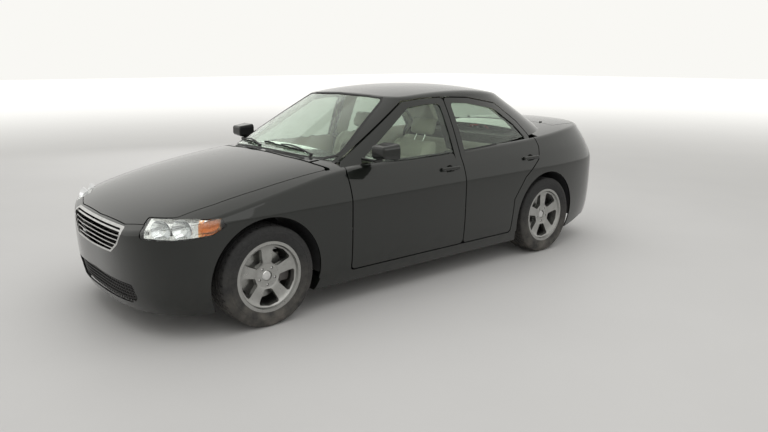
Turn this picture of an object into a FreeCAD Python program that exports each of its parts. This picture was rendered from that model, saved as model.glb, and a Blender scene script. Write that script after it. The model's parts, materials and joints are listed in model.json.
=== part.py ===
"""A four-door saloon car, built from its panels, glass, cabin furniture, running gear and wheels.

Millimetres. +X points forward, +Y to the car's left and +Z up. The origin is on the ground,
under the middle of the body. Each function makes one piece, and the table at the end names them.
Places along the car are shares: 0 at the rear axle, 1 at the front axle, 2 at the nose and
-1 at the tail. Places across it are shares of half its width, heights are shares of its height.
"""
import FreeCAD, Part
import math
import os
from functools import lru_cache

V = FreeCAD.Vector

# Overall sizes
wheelbase = 2740.0
front_overhang = 775.0
rear_overhang = 1020.0
body_width = 1820.0
body_height = 1440.0
track = 1570.0

# Wheels
tyre_radius = 322.0
tyre_width = 235.0
rim_radius = 228.0
bead_radius = 216.0
rim_width = 206.0
rim_wall = 9.0
spoke_count = 5
spoke_root = 58.0
spoke_tip = 84.0
window_inner_radius = 88.0
window_outer_radius = 192.0
window_corner = 14.0
lug_circle_radius = 57.0
lug_radius = 9.0
disc_radius = 155.0
disc_thickness = 24.0
hub_radius = 76.0
spindle_radius = 20.0
running_clearance = 0.05
moving_gap = 5.0
cap_radius = 34.0
bell_radius = 68.0
disc_setback = 26.0
# Wheel's face from hub to barrel: share of the way out, share of half the width
wheel_face_shares = [(0.0, 0.66), (0.15, 0.70), (0.50, 0.72), (1.0, 0.90)]
wheel_back_shares = [(1.0, 0.52), (0.0, 0.30)]
cup_floor_share = 0.56
bore_end_share = 0.50
# Tyre's side from rim to tread: share of half its width, drop below the tread
tyre_side_shares = [(1.0, 0.46), (0.95, 0.12), (0.82, 0.0)]

# Walls and gaps
skin = 12.0
lid_thickness = 22.0
door_frame_depth = 40.0
frame_recess_depth = 56.0
pillar_depth = 95.0
roof_thickness = 34.0
shut_gap = 6.0
door_gap = 9.0
cowl_gap = 20.0
door_flange = 20.0
glass_setback = 7.0
glass_depth = 5.0
screen_setback = 6.0
screen_depth = 10.0
overrun = 600.0
shoulder_fillet = 45.0
roof_fillet = 70.0
corner_radius = 30.0

# Lower body
arch_radius = 380.0
liner_radius = 386.0
liner_thickness = 5.0
liner_inner_y = 495.0
rear_liner_inner_y = 618.0
door_inner_y = 790.0
side_frame_outer_y = 765.0
side_frame_inner_y = 700.0
cowl_side_y = 785.0
floor_z = 205.0
floor_thickness = 14.0
panel_thickness = 12.0
boot_floor_z = 420.0
engine_bay_y = 478.0
engine_base_z = 275.0
pipe_radius = 27.0
pipe_wall = 2.5
spring_radius = 41.0
spring_side_share = 0.615
silencer_fillet = 55.0

# Steering knuckles, arms and axles
knuckle_width = 36.0
knuckle_base_share = 0.15
knuckle_top_share = 0.325
pin_depth = 30.0
caliper_length = 140.0
caliper_wall = 14.0
caliper_angle = 165.0
arm_half_width = 62.0
arm_tip_half_width = 14.0
arm_overhang = 12.0
arm_thickness = 16.0
arm_root_share = 0.48
post_shares = (0.46, 0.50)
cross_member_half_length = 145.0
cross_member_shares = (0.50, 0.152)
rear_cross_half_length = 110.0
rear_cross_shares = (0.53, 0.155, 0.22)
rear_arm_half_width = 48.0
rear_arm_shares = (0.50, 0.155, 0.185)
carrier_half_width = 50.0
carrier_thickness = 20.0
carrier_shares = (0.16, 0.29)

# Door hinges
hinge_setback = 60.0
hinge_depth = 22.0
hinge_pin_radius = 6.0
hinge_reach = 36.0
hinge_plate = 12.0
hinge_clearance = 5.5
hinge_height_shares = [0.365, 0.507]
door_swing_radius = 195.0

# Door mirrors
mirror_share = 0.665
mirror_inner_share = 0.955
mirror_low_share = 0.672
mirror_width = 190.0
mirror_height = 122.0
mirror_length = 120.0
mirror_rise = 16.0
mirror_rim = 7.0
mirror_root_share = 0.84
# Front face of the mirror against its back, and its arm's rear and front ends along it
mirror_front_share = 0.72
mirror_arm_shares = (0.25, 0.85)

# Door handles
handle_point = 6
handle_setback = 150.0
handle_length = 190.0
handle_width = 26.0
handle_reach = 22.0
handle_foot = 25.0
handle_thickness = 12.0
scoop_radius = 59.0
scoop_depth = 15.0
handle_height_share = 0.585

# Lid hinges
lid_pin_radius = 8.0
lid_arm_thickness = 14.0
lid_plate_thickness = 8.0
lid_plate_half_width = 12.0
lid_plate_drop = 10.0
plate_recess_depth = 9.0
grille_depth = 36.0
grille_rim = 12.0
slat_count = 5
slat_height = 7.0
lens_setback = 3.0
lens_depth = 8.0
bulkhead_share = 0.78
lid_hinge_side_share = 0.66
bonnet_hinge_share = (0.792, 0.625)
bonnet_arm_shares = [
    (0.785, 0.614), (0.80, 0.614), (0.86, 0.636), (0.86, 0.655), (0.826, 0.655), (0.785, 0.637),
]
boot_hinge_side_share = 0.50
boot_hinge_share = (-0.297, 0.715)
boot_arm_shares = [
    (-0.425, 0.747), (-0.447, 0.747), (-0.452, 0.612), (-0.286, 0.612), (-0.286, 0.7171), (-0.2911, 0.722),
    (-0.3029, 0.722), (-0.308, 0.7171), (-0.308, 0.628), (-0.430, 0.628),
]

half_width = body_width / 2
nose_x = (wheelbase + front_overhang + rear_overhang) / 2
tail_x = -nose_x
front_axle_x = nose_x - front_overhang
rear_axle_x = tail_x + rear_overhang
wheel_y = track / 2
steer_y = wheel_y - 49.0


def along(u):
    """X of a place along the car."""
    if u > 1:
        return front_axle_x + (u - 1) * front_overhang
    if u < 0:
        return rear_axle_x + u * rear_overhang
    return rear_axle_x + u * wheelbase


def up(h):
    """Z of a share of the car's height."""
    return h * body_height


def side(share):
    """Y of a share of half the width."""
    return share * half_width


# Plan outline of the body at its widest, from the front centre round to the rear centre
body_outline_shares = [
    (2.0, 0.0), (1.998, 0.30), (1.95, 0.56), (1.83, 0.80), (1.62, 0.945), (1.30, 0.998), (0.896, 1.0),
    (0.695, 0.996), (0.476, 0.996), (0.257, 0.998), (0.057, 1.004), (-0.25, 0.998), (-0.60, 0.955),
    (-0.84, 0.85), (-0.965, 0.62), (-1.0, 0.32), (-1.0, 0.0),
]
# Levels up the body: height, rise from nose to tail, then side, nose and tail insets
body_level_shares = [
    (0.104, 0.0, 0.070, 0.060, 0.075), (0.149, 0.0, 0.034, 0.020, 0.035), (0.229, 0.0, 0.014, 0.012, 0.010),
    (0.347, 0.005, 0.006, 0.0, 0.0), (0.470, 0.015, 0.002, 0.012, 0.002), (0.506, 0.02, 0.001, 0.040, 0.010),
    (0.520, 0.02, 0.005, 0.055, 0.016), (0.576, 0.02, 0.028, 0.130, 0.040),
    (0.632, 0.02, 0.070, 0.240, 0.060), (0.799, 0.0, 0.24, 0.600, 0.13),
]
# Top of bonnet, waist and boot along the centre: place, height, drop towards the sides
deck_shares = [
    (2.35, 0.30, 0.070), (2.0, 0.428, 0.070), (1.84, 0.512, 0.068), (1.5, 0.580, 0.066), (1.07, 0.638, 0.072),
    (0.878, 0.683, 0.072), (0.768, 0.700, 0.062), (0.586, 0.703, 0.056), (0.33, 0.709, 0.056),
    (0.075, 0.727, 0.056), (-0.184, 0.742, 0.056), (-0.42, 0.754, 0.058), (-0.656, 0.758, 0.060),
    (-0.89, 0.754, 0.062),
    (-1.0, 0.740, 0.062), (-1.3, 0.70, 0.062),
]
deck_crown_shares = [(0.0, 0.0), (0.285, 0.05), (0.57, 0.24), (0.79, 0.55), (0.945, 1.0), (1.21, 2.1)]

# Greenhouse outline at the waist and at the roof, from the front centre round to the rear centre
waist_outline_shares = [
    (0.863, 0.0), (0.857, 0.33), (0.826, 0.615), (0.768, 0.802), (0.71, 0.875), (0.622, 0.908),
    (0.476, 0.915), (0.257, 0.904), (0.075, 0.868), (-0.184, 0.797), (-0.42, 0.681), (-0.56, 0.462),
    (-0.60, 0.22), (-0.60, 0.0),
]
roof_outline_shares = [
    (0.5456, 0.0), (0.542, 0.22), (0.527, 0.44), (0.502, 0.571), (0.469, 0.626), (0.421, 0.646),
    (0.356, 0.653), (0.272, 0.646), (0.192, 0.621), (0.137, 0.566), (0.10, 0.462), (0.08, 0.30),
    (0.073, 0.15), (0.073, 0.0),
]
waist_height_share = 0.646
rail_height_share = 0.972
greenhouse_level_shares = [0.611, 0.70, 0.80, 0.90, 1.042]
greenhouse_bulge_share = 0.026
roof_shares = [
    (0.95, 0.78), (0.73, 0.905), (0.55, 0.966), (0.44, 0.994), (0.33, 1.003), (0.22, 0.999), (0.10, 0.972),
    (-0.10, 0.905), (-0.55, 0.79),
]
roof_drop_share = 0.031
roof_crown_shares = [(0.0, 0.0), (0.242, 0.08), (0.473, 0.45), (0.66, 1.0), (0.99, 2.6)]

# Panel lines. Side views are (place along, height), plans (place along, across), front views (across, height)
front_door_shares = [
    (0.768, 0.167), (0.768, 0.628), (0.752, 0.668), (0.515, 0.925), (0.45, 0.938), (0.3704, 0.940),
    (0.3704, 0.167),
]
rear_door_shares = [
    (0.3704, 0.167), (0.3704, 0.940), (0.272, 0.932), (0.150, 0.892), (0.071, 0.785), (0.030, 0.70),
    (0.028, 0.64), (0.045, 0.57), (0.111, 0.479), (0.158, 0.36), (0.166, 0.167),
]
front_window_shares = [
    (0.705, 0.60), (0.705, 0.665), (0.508, 0.893), (0.45, 0.906), (0.392, 0.908), (0.392, 0.60),
]
rear_window_shares = [
    (0.349, 0.60), (0.349, 0.908), (0.275, 0.900), (0.165, 0.862), (0.093, 0.768), (0.058, 0.695),
    (0.058, 0.60),
]
front_opening_shares = [
    (0.735, 0.235), (0.735, 0.62), (0.706, 0.672), (0.508, 0.905), (0.45, 0.917), (0.385, 0.920),
    (0.385, 0.235),
]
rear_opening_shares = [
    (0.337, 0.235), (0.337, 0.920), (0.275, 0.912), (0.160, 0.873), (0.085, 0.775), (0.048, 0.70),
    (0.060, 0.60), (0.12, 0.50), (0.175, 0.36), (0.185, 0.235),
]
bonnet_half_shares = [
    (0.841, 0.0), (0.837, 0.40), (0.818, 0.72), (0.805, 0.845), (1.0, 0.835), (1.36, 0.815), (1.62, 0.770),
    (1.80, 0.66), (1.885, 0.43), (1.905, 0.0),
]
windscreen_half_shares = [(0.0, 0.60), (0.745, 0.60), (0.735, 0.69), (0.525, 0.945), (0.0, 0.955)]
rear_screen_half_shares = [(0.0, 0.60), (0.62, 0.60), (0.61, 0.745), (0.455, 0.925), (0.0, 0.940)]
boot_half_shares = [(0.0, 0.492), (0.55, 0.492), (0.575, 0.58), (0.66, 0.675), (0.70, 0.90), (0.0, 0.90)]
boot_edge_share = -0.41
plate_recess_half_shares = [(0.0, 0.515), (0.33, 0.515), (0.33, 0.615), (0.0, 0.615)]
front_bumper_shares = [
    (1.30, 0.0), (1.30, 0.335), (1.44, 0.350), (1.50, 0.450), (1.80, 0.456), (1.80, 0.90), (2.4, 0.90),
    (2.4, 0.0),
]
rear_bumper_shares = [
    (-0.37, 0.10), (-0.37, 0.40), (-0.60, 0.465), (-0.85, 0.486), (-1.3, 0.486), (-1.3, 0.168),
    (-0.62, 0.155),
]
tail_lamp_shares = [(-0.70, 0.655), (-0.74, 0.60), (-0.80, 0.562), (-1.3, 0.556), (-1.3, 0.672)]
tail_lamp_inner_share = 0.60
lower_intake_half_shares = [(0.0, 0.135), (0.50, 0.138), (0.58, 0.165), (0.55, 0.225), (0.0, 0.235)]
grille_half_shares = [(0.0, 0.340), (0.34, 0.345), (0.43, 0.385), (0.50, 0.462), (0.0, 0.462)]
quarter_front_share = 0.17
parcel_front_share = 0.006
seat_step_share = 0.150
tunnel_share = 0.13
seat_side_share = 0.42
windscreen_back_share = 0.44
rear_screen_front_share = 0.11
side_frame_shares = (0.03, 0.80)
clear_top_share = 0.695
front_wing_shares = (0.70, 1.80, 0.20)
wing_inner_share = 0.815
cowl_end_share = 0.80
cowl_shares = (0.72, 0.86, 0.50)
shoulder_low_share = 0.25
rail_low_share = 0.76

# Pieces between the panels, as shares along, across and up
radiator_share = 1.72
radiator_window_shares = (0.42, 0.235, 0.44)
apron_low_share = 0.20
arm_room_top_share = 0.43
liner_low_share = 0.19
boot_floor_end_share = -0.88
engine_shares = (1.02, 1.50, 0.33, 0.47)
exhaust_side_share = -0.05
exhaust_shares = (1.26, -0.35)
silencer_shares = (-0.80, -0.42, 0.45, 0.105, 0.215)
silencer_link_shares = (-0.62, 0.16)
tail_pipe_side_share = 0.35
tail_pipe_shares = [(-0.76, 0.135), (-0.90, 0.126), (-0.985, 0.120)]

# Cabin furniture
seat_half_share = 0.27
seat_fillet = 50.0
seat_cushion_shares = (0.455, 0.655, 0.20, 0.345)
seat_base_shares = (0.48, 0.63, 0.23)
seat_back_shares = [(0.475, 0.25), (0.42, 0.27), (0.355, 0.70), (0.385, 0.715), (0.42, 0.69), (0.475, 0.36)]
head_rest_shares = [(0.35, 0.725), (0.34, 0.815), (0.365, 0.822), (0.385, 0.735)]
head_stalk_shares = [(0.36, 0.70), (0.353, 0.74), (0.363, 0.74), (0.37, 0.70)]
# Half widths of the seat's back, base, head rest and its stalk, of the seat's own
seat_width_shares = (0.95, 0.80, 0.50, 0.20)
rear_seat_half_share = 0.72
rear_cushion_shares = [
    (0.14, 0.31), (0.14, 0.36), (0.33, 0.375), (0.345, 0.34), (0.33, 0.20), (0.29, 0.12), (0.14, 0.12),
]
rear_back_shares = [(0.145, 0.30), (0.135, 0.34), (0.06, 0.66), (0.085, 0.675), (0.125, 0.66), (0.185, 0.36)]
dashboard_half_share = 0.765
dashboard_shares = [
    (0.80, 0.40), (0.80, 0.655), (0.74, 0.672), (0.68, 0.668), (0.655, 0.64), (0.66, 0.56), (0.68, 0.44),
    (0.72, 0.40),
]
console_half_share = 0.115
console_shares = [(0.44, 0.23), (0.44, 0.36), (0.66, 0.39), (0.72, 0.45), (0.72, 0.23)]
steering_wheel_radius = 187.0
steering_wheel_grip = 15.5
steering_hub_radius = 64.0
steering_hub_thickness = 36.0
steering_spoke_half_width = 20.0
steering_spoke_half_thickness = 9.0
column_radius = 36.0
column_length = 273.0
column_lean = 65.0
steering_wheel_shares = (0.598, 0.60)

# Headlamp outline seen along a line swung out from straight ahead
headlamp_swing = 40.0
headlamp_outline_shares = [
    (-1.04, 0.432), (-0.80, 0.430), (-0.58, 0.444), (-0.495, 0.480), (-0.53, 0.512), (-0.75, 0.512),
    (-1.03, 0.500),
]


def knots(count, degree=3):
    """Knots and multiplicities of a clamped uniform spline with that many poles."""
    spans = count - degree
    values = [i / spans for i in range(spans + 1)]
    return values, [degree + 1] + [1] * (spans - 1) + [degree + 1]


def surface(rows):
    """Smooth surface steered by a grid of poles."""
    made = Part.BSplineSurface()
    row_knots, row_repeats = knots(len(rows))
    column_knots, column_repeats = knots(len(rows[0]))
    repeats = (row_repeats, column_repeats)
    made.buildFromPolesMultsKnots(rows, *repeats, row_knots, column_knots, False, False, 3, 3)
    return made


def whole_ring(half):
    """A ring of plan points from its left half, with its seam at the rear centre."""
    return [(x, -y) for x, y in reversed(half)] + half[1:]


def inset_ring(ring, inset):
    """The ring moved inwards by inset, square to its own line."""
    moved = []
    last = len(ring) - 1
    for i, (x, y) in enumerate(ring):
        before = ring[i - 1] if i > 0 else ring[last - 1]
        after = ring[i + 1] if i < last else ring[1]
        dx = after[0] - before[0]
        dy = after[1] - before[1]
        length = math.hypot(dx, dy)
        moved.append((x - inset * dy / length, y + inset * dx / length))
    return moved


def ringed_solid(rows):
    """Closed solid inside a stack of rings of poles, flat at its first and last ring."""
    wall = surface(rows)
    ends = [Part.Face(Part.Wire(wall.uIso(end).toShape())) for end in (0.0, 1.0)]
    shell = Part.makeShell([wall.toShape()] + ends)
    shell.sewShape()
    solid = Part.makeSolid(Part.Shell(shell.Faces))
    if solid.Volume < 0:
        solid.reverse()
    return solid


def under_crown(stations, drops, crown):
    """Everything below a crowned surface: stations are (x, z), and crown is (y, share of the drop)."""
    across = [(-y, s) for y, s in reversed(crown)] + crown[1:]
    rows = [[V(x, y, z - drop * s) for y, s in across] for (x, z), drop in zip(stations, drops)]
    return surface(rows).toShape().extrude(V(0, 0, -2 * body_height))


@lru_cache(maxsize=None)
def body_form(inset=0.0):
    """The lower body's outer form, or the same form moved inwards by inset."""
    rows = []
    for height, rise, side_in, nose_in, tail_in in body_level_shares:
        half = []
        for u, share in body_outline_shares:
            y = max(0.0, side(share) - side(side_in) * min(1.0, 1.5 * share))
            half.append((along(u) - side(nose_in) * max(0.0, u - 1) + side(tail_in) * max(0.0, -u), y))
        ring = inset_ring(whole_ring(half), inset)
        rows.append([V(x, y, up(height) - up(rise) * x / nose_x) for x, y in ring])
    stations = [(along(u), up(h) - inset) for u, h, _ in deck_shares]
    drops = [up(drop) for _, _, drop in deck_shares]
    crown = [(side(y), s) for y, s in deck_crown_shares]
    whole = ringed_solid(rows).common(under_crown(stations, drops, crown)).Solids[0]
    if inset:
        return whole
    rim = [e for e in whole.Edges if e.BoundBox.ZMin > up(shoulder_low_share) and e.Length > wheelbase]
    return whole.makeFillet(shoulder_fillet, rim).Solids[0]


@lru_cache(maxsize=None)
def cabin_form(inset=0.0, lowered=0.0):
    """The greenhouse's outer form, or the same moved inwards by inset with its roof lowered."""
    rows = []
    for level in greenhouse_level_shares:
        mix = (level - waist_height_share) / (rail_height_share - waist_height_share)
        swell = greenhouse_bulge_share * 4 * max(0.0, mix * (1 - mix))
        half = []
        for (u0, y0), (u1, y1) in zip(waist_outline_shares, roof_outline_shares):
            x = along(u0) + (along(u1) - along(u0)) * mix
            y = side(y0 + (y1 - y0) * mix + swell * min(1.0, y0 / 0.4))
            half.append((x, y))
        rows.append([V(x, y, up(level)) for x, y in inset_ring(whole_ring(half), inset)])
    stations = [(along(u), up(h) - lowered) for u, h in roof_shares]
    crown = [(side(y), s) for y, s in roof_crown_shares]
    drops = [up(roof_drop_share)] * len(stations)
    whole = ringed_solid(rows).common(under_crown(stations, drops, crown)).Solids[0]
    if inset:
        return whole
    rim = [e for e in whole.Edges if e.BoundBox.ZMin > up(rail_low_share) and e.Length > wheelbase]
    return whole.makeFillet(roof_fillet, rim).Solids[0]


@lru_cache(maxsize=None)
def below_deck():
    """Everything under the surface of the bonnet, waist and boot."""
    stations = [(along(u), up(h)) for u, h, _ in deck_shares]
    drops = [up(drop) for _, _, drop in deck_shares]
    return under_crown(stations, drops, [(side(y), s) for y, s in deck_crown_shares])


def body_panel(zone, cutters=(), depth=skin):
    """The lower body's wall inside a zone and outside the cutters, as thick as depth."""
    panel = body_form().common(zone)
    if cutters:
        panel = panel.cut(list(cutters))
    return panel.cut(body_form(depth).common(zone))


def cabin_panel(setback, depth, zone, cutters=()):
    """The greenhouse's wall in a zone and outside the cutters, from setback to depth below its surface."""
    panel = cabin_form(setback, setback).common(zone).cut(below_deck())
    if cutters:
        panel = panel.cut(list(cutters))
    return panel.cut(cabin_form(depth, depth).common(zone))


def largest(shape):
    """The biggest solid of a cut piece, without what was cut off it."""
    return max(shape.Solids, key=lambda s: s.Volume)


def outline(points, corner=0.0, grow=0.0):
    """Flat face inside a polygon, grown by grow, its corners rounded."""
    corners = [V(a, b, 0) for a, b in points]
    face = Part.Face(Part.makePolygon(corners + corners[:1]))
    if grow != corner:
        face = face.makeOffset2D(grow - corner)
    if corner:
        face = face.makeOffset2D(corner)
    return face


def both_halves(half):
    """A polygon of (across, height) shares from its left half."""
    return half + [(-y, h) for y, h in reversed(half) if y]


def both_sides_plan(half):
    """A polygon of (along, across) shares from its left half."""
    return half + [(u, -y) for u, y in reversed(half) if y]


def side_zone(shares, near_y, far_y, corner=0.0, grow=0.0):
    """Prism through the car's side, from an outline of (along, height) shares."""
    face = outline([(along(u), up(h)) for u, h in shares], corner, grow)
    face.rotate(V(0, 0, 0), V(1, 0, 0), 90)
    face.translate(V(0, near_y, 0))
    return face.extrude(V(0, far_y - near_y, 0))


def plan_zone(shares, low_z, high_z, corner=0.0, grow=0.0):
    """Upright prism from an outline of (along, across) shares."""
    face = outline([(along(u), side(y)) for u, y in shares], corner, grow)
    face.translate(V(0, 0, low_z))
    return face.extrude(V(0, 0, high_z - low_z))


def end_zone(shares, near_x, far_x, corner=0.0, grow=0.0):
    """Prism along the car, from an outline of (across, height) shares."""
    face = outline([(side(y), up(h)) for y, h in shares], corner, grow)
    face.rotate(V(0, 0, 0), V(1, 1, 1), 120)
    face.translate(V(near_x, 0, 0))
    return face.extrude(V(far_x - near_x, 0, 0))


def block(x0, x1, y0, y1, z0, z1):
    """Box between two places on each axis."""
    low = V(min(x0, x1), min(y0, y1), min(z0, z1))
    return Part.makeBox(abs(x1 - x0), abs(y1 - y0), abs(z1 - z0), low)


def rod(radius, start, end):
    """Round bar between two points."""
    return Part.makeCylinder(radius, (end - start).Length, start, end - start)


def mirrored(shape):
    """The same piece on the car's other side."""
    return shape.mirror(V(0, 0, 0), V(0, 1, 0))


def on_both_sides(shape):
    """A left cutter and its mirror image."""
    return [shape, mirrored(shape)]


def joined(shapes):
    """One solid from pieces that meet."""
    return shapes[0].multiFuse(shapes[1:])


def pair(shape):
    """The piece and its mirror image, as two solids."""
    return Part.makeCompound([shape, mirrored(shape)])


def arches(radius, near_y=liner_inner_y):
    """Round spaces above all four wheels."""
    tools = []
    for x in (front_axle_x, rear_axle_x):
        for sign in (1, -1):
            start = V(x, sign * near_y, tyre_radius)
            tools.append(rod(radius, start, V(x, sign * body_width, tyre_radius)))
    return Part.makeCompound(tools)


def headlamp_zone(grow=0.0):
    """Prism through the left headlamp's outline, along the lamp's own swung-out view."""
    face = outline([(side(s), up(h)) for s, h in headlamp_outline_shares], corner_radius / 2, grow)
    face.rotate(V(0, 0, 0), V(1, 0, 0), 90)
    face.rotate(V(0, 0, 0), V(0, 0, 1), 90 + headlamp_swing)
    swing = math.radians(headlamp_swing)
    return face.extrude(V(math.cos(swing), math.sin(swing), 0) * nose_x * 2)


def door_hole(shares):
    """Space that a left door leaves in the panels round it."""
    return side_zone(shares, cowl_side_y, body_width, corner_radius, door_gap / 2)


def bonnet_zone(grow=0.0):
    return plan_zone(both_sides_plan(bonnet_half_shares), up(0.3), up(0.9), corner_radius, grow)


def boot_zone(grow=0.0):
    edge_x = along(boot_edge_share) + grow
    return end_zone(both_halves(boot_half_shares), tail_x - overrun, edge_x, corner_radius, grow)


def tail_lamp_zone(grow=0.0):
    near_y = side(tail_lamp_inner_share) - grow
    return side_zone(tail_lamp_shares, near_y, body_width, corner_radius / 2, grow)


def grille_zone(grow=0.0):
    near_x = front_axle_x + front_overhang / 2
    return end_zone(both_halves(grille_half_shares), near_x, nose_x + overrun, corner_radius, grow)


def hinge_x(shares):
    """X of a door's hinge pins, behind its leading edge."""
    return along(shares[0][0]) - door_gap / 2 - hinge_setback


hinge_y = side(0.9956) - hinge_depth


def hinge_pockets(x):
    """Hollows in a left door round its hinges, with the pins' bores above and below."""
    tools = []
    for share in hinge_height_shares:
        z = up(share)
        room = hinge_pin_radius + hinge_clearance
        half_height = hinge_plate + hinge_clearance
        low_z = z - half_height
        high_z = z + half_height
        inner_y = door_inner_y - overrun / 10
        tools.append(block(x - 2 * room, x + overrun / 4, inner_y, hinge_y, low_z, high_z))
        tools.append(rod(room, V(x, hinge_y, low_z), V(x, hinge_y, high_z)))
        tools.append(block(x, x + overrun / 4, hinge_y, hinge_y + room, low_z, high_z))
        bore = hinge_pin_radius + running_clearance
        tools.append(rod(bore, V(x, hinge_y, z - hinge_reach), V(x, hinge_y, z + hinge_reach)))
    return Part.makeCompound(tools)


def hinge_arms(x):
    """Fixed halves of a left door's hinges: plates from the pillar with upright pins."""
    arms = []
    for share in hinge_height_shares:
        z = up(share)
        half = hinge_pin_radius
        plate = block(x - half, x + half, side_frame_outer_y, hinge_y, z - hinge_plate, z + hinge_plate)
        pin = rod(hinge_pin_radius, V(x, hinge_y, z - hinge_reach), V(x, hinge_y, z + hinge_reach))
        arms.append(plate.fuse(pin))
    return arms


def outer_y(x, z):
    """Y of the left body surface at a place and height."""
    line = Part.makeLine(V(x, 0, z), V(x, body_width, z))
    return line.common(body_form()).BoundBox.YMax


def door_handle(shares):
    """Pull handle near a left door's trailing edge, and the hollow for fingers behind it."""
    x = along(shares[handle_point][0]) + handle_setback
    z = up(handle_height_share)
    y = outer_y(x, z)
    half = handle_length / 2
    rise = handle_width / 2
    bar = block(x - half, x + half, y - handle_reach / 3, y + handle_reach, z - rise, z + rise)
    bar = bar.makeFillet(handle_width / 3, bar.Edges)
    grip = half - handle_foot
    back_y = y + handle_reach - handle_thickness
    gap = block(x - grip, x + grip, y - handle_reach, back_y, z - 2 * rise, z + 2 * rise)
    scoop = Part.makeSphere(scoop_radius, V(x, y + scoop_radius - scoop_depth, z))
    return bar.cut(gap), scoop.common(gap)


def window_zone(shares):
    return side_zone(shares, 0, body_width, corner_radius)


def door(shares, window_shares):
    """Left door: a slab below the waist, a thin frame round the window, a thinner flange all round."""
    full = side_zone(shares, 0, body_width, corner_radius, -door_gap / 2)
    inside = -door_gap / 2 - door_flange
    rim = full.cut(side_zone(shares, -shut_gap, body_width + shut_gap, corner_radius, inside))
    outboard = block(tail_x, nose_x, door_inner_y, body_width, 0, body_height)
    slab = body_form().common(full).common(outboard).cut(rim.common(body_form(skin)))
    frame = cabin_form().common(full).cut(cabin_form(door_frame_depth, door_frame_depth))
    frame = frame.cut(window_zone(window_shares)).cut(rim.common(cabin_form(skin, skin)))
    whole = slab.fuse(frame).removeSplitter()
    handle, scoop = door_handle(shares)
    whole = whole.cut([hinge_pockets(hinge_x(shares)), scoop])
    return whole.fuse(handle)


def door_glass(shares):
    return cabin_panel(glass_setback, glass_setback + glass_depth, window_zone(shares))


def mirror():
    """Left door mirror: a rounded shell, open behind for its glass, on a short arm."""
    x = along(mirror_share)
    y = side(mirror_inner_share)
    low = up(mirror_low_share)
    high = low + mirror_height
    far_y = y + mirror_width
    back = outline([(y, low), (far_y, low + mirror_rise), (far_y, high), (y, high)], mirror_height / 4)
    front = back.scaled(mirror_front_share, back.CenterOfMass)
    for face, place in ((front, x + mirror_length), (back, x)):
        face.rotate(V(0, 0, 0), V(1, 1, 1), 120)
        face.translate(V(place, 0, 0))
    shell = Part.makeLoft([back.OuterWire, front.OuterWire], True)
    nose = [e for e in shell.Edges if e.BoundBox.XMin > x + mirror_length / 2]
    shell = shell.makeFillet(mirror_height / 6, nose)
    glass_room = back.makeOffset2D(-mirror_rim).extrude(V(mirror_rim, 0, 0))
    root, tip = mirror_arm_shares
    near_y = side(mirror_root_share)
    end_y = y + mirror_width / 4
    arm = block(x + root * mirror_length, x + tip * mirror_length, near_y, end_y, low - mirror_rim,
                low + 2 * mirror_rim)
    arm = arm.makeFillet(mirror_rim, arm.Edges)
    whole = joined([shell.cut(glass_room), arm]).cut([cabin_form(), body_form()])
    return largest(whole)


def windscreen():
    zone = end_zone(both_halves(windscreen_half_shares), along(windscreen_back_share), nose_x, corner_radius)
    return cabin_panel(screen_setback, screen_setback + screen_depth, zone)


def rear_screen():
    front_x = along(rear_screen_front_share)
    zone = end_zone(both_halves(rear_screen_half_shares), front_x, tail_x, corner_radius)
    return cabin_panel(screen_setback, screen_setback + screen_depth, zone)


def door_recess(shares):
    """Room for a left door's window frame in the body behind it."""
    hole = side_zone(shares, 0, body_width, corner_radius, door_gap / 2)
    low = up(greenhouse_level_shares[0])
    above = block(tail_x, nose_x, 0, body_width, low, body_height)
    return hole.common(above).cut(cabin_form(frame_recess_depth, frame_recess_depth))


def door_swing(shares):
    """Room for the front edge of a left door's window frame as it swings inwards."""
    x = hinge_x(shares)
    low = up(greenhouse_level_shares[0]) - shut_gap
    swing = rod(door_swing_radius, V(x, hinge_y, low), V(x, hinge_y, up(clear_top_share)))
    edge_x = along(shares[0][0]) + door_gap / 2
    return swing.common(block(tail_x, edge_x, 0, body_width, 0, body_height))


def roof_and_pillars():
    """Roof, its rails and all the pillars above the waist."""
    windscreen_back_x = along(windscreen_back_share)
    rear_screen_front_x = along(rear_screen_front_share)
    openings = [
        end_zone(both_halves(windscreen_half_shares), windscreen_back_x, nose_x, corner_radius),
        end_zone(both_halves(rear_screen_half_shares), rear_screen_front_x, tail_x, corner_radius),
    ]
    for shares in (front_opening_shares, rear_opening_shares):
        openings.append(side_zone(shares, -body_width, body_width, corner_radius))
    recesses = []
    for shares in (front_door_shares, rear_door_shares):
        hole = side_zone(shares, 0, body_width, corner_radius, door_gap / 2)
        recesses += on_both_sides(door_recess(shares))
        clear = hole.common(block(tail_x, nose_x, side_frame_outer_y, body_width, 0, up(clear_top_share)))
        recesses += on_both_sides(clear)
    frame = cabin_form().cut(openings).cut(below_deck()).cut(recesses)
    return frame.cut(cabin_form(pillar_depth, roof_thickness))


sill_top = up(front_door_shares[0][1]) - door_gap / 2
tunnel_top = up(0.235)


def side_frame():
    """Left sill with the pillars behind the doors, and the fixed halves of the door hinges."""
    back, front = side_frame_shares
    inner = side_frame_inner_y
    room = block(along(back), along(front), inner, side_frame_outer_y, 0, body_height)
    plate = body_form(lid_thickness + shut_gap).common(room)
    cutters = [door_recess(front_door_shares), door_recess(rear_door_shares), door_swing(front_door_shares)]
    for shares in (front_opening_shares, rear_opening_shares):
        cutters.append(side_zone(shares, 0, body_width, corner_radius))
    plate = plate.cut(cutters)
    sill = body_form().common(block(along(0), along(1), inner, body_width, 0, sill_top))
    whole = plate.fuse(sill).cut(arches(liner_radius + liner_thickness))
    # A loose crumb is left over the door's swing
    whole = max(whole.Solids, key=lambda solid: solid.Volume)
    arms = hinge_arms(hinge_x(front_door_shares)) + hinge_arms(hinge_x(rear_door_shares))
    return joined([whole] + arms)


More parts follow.
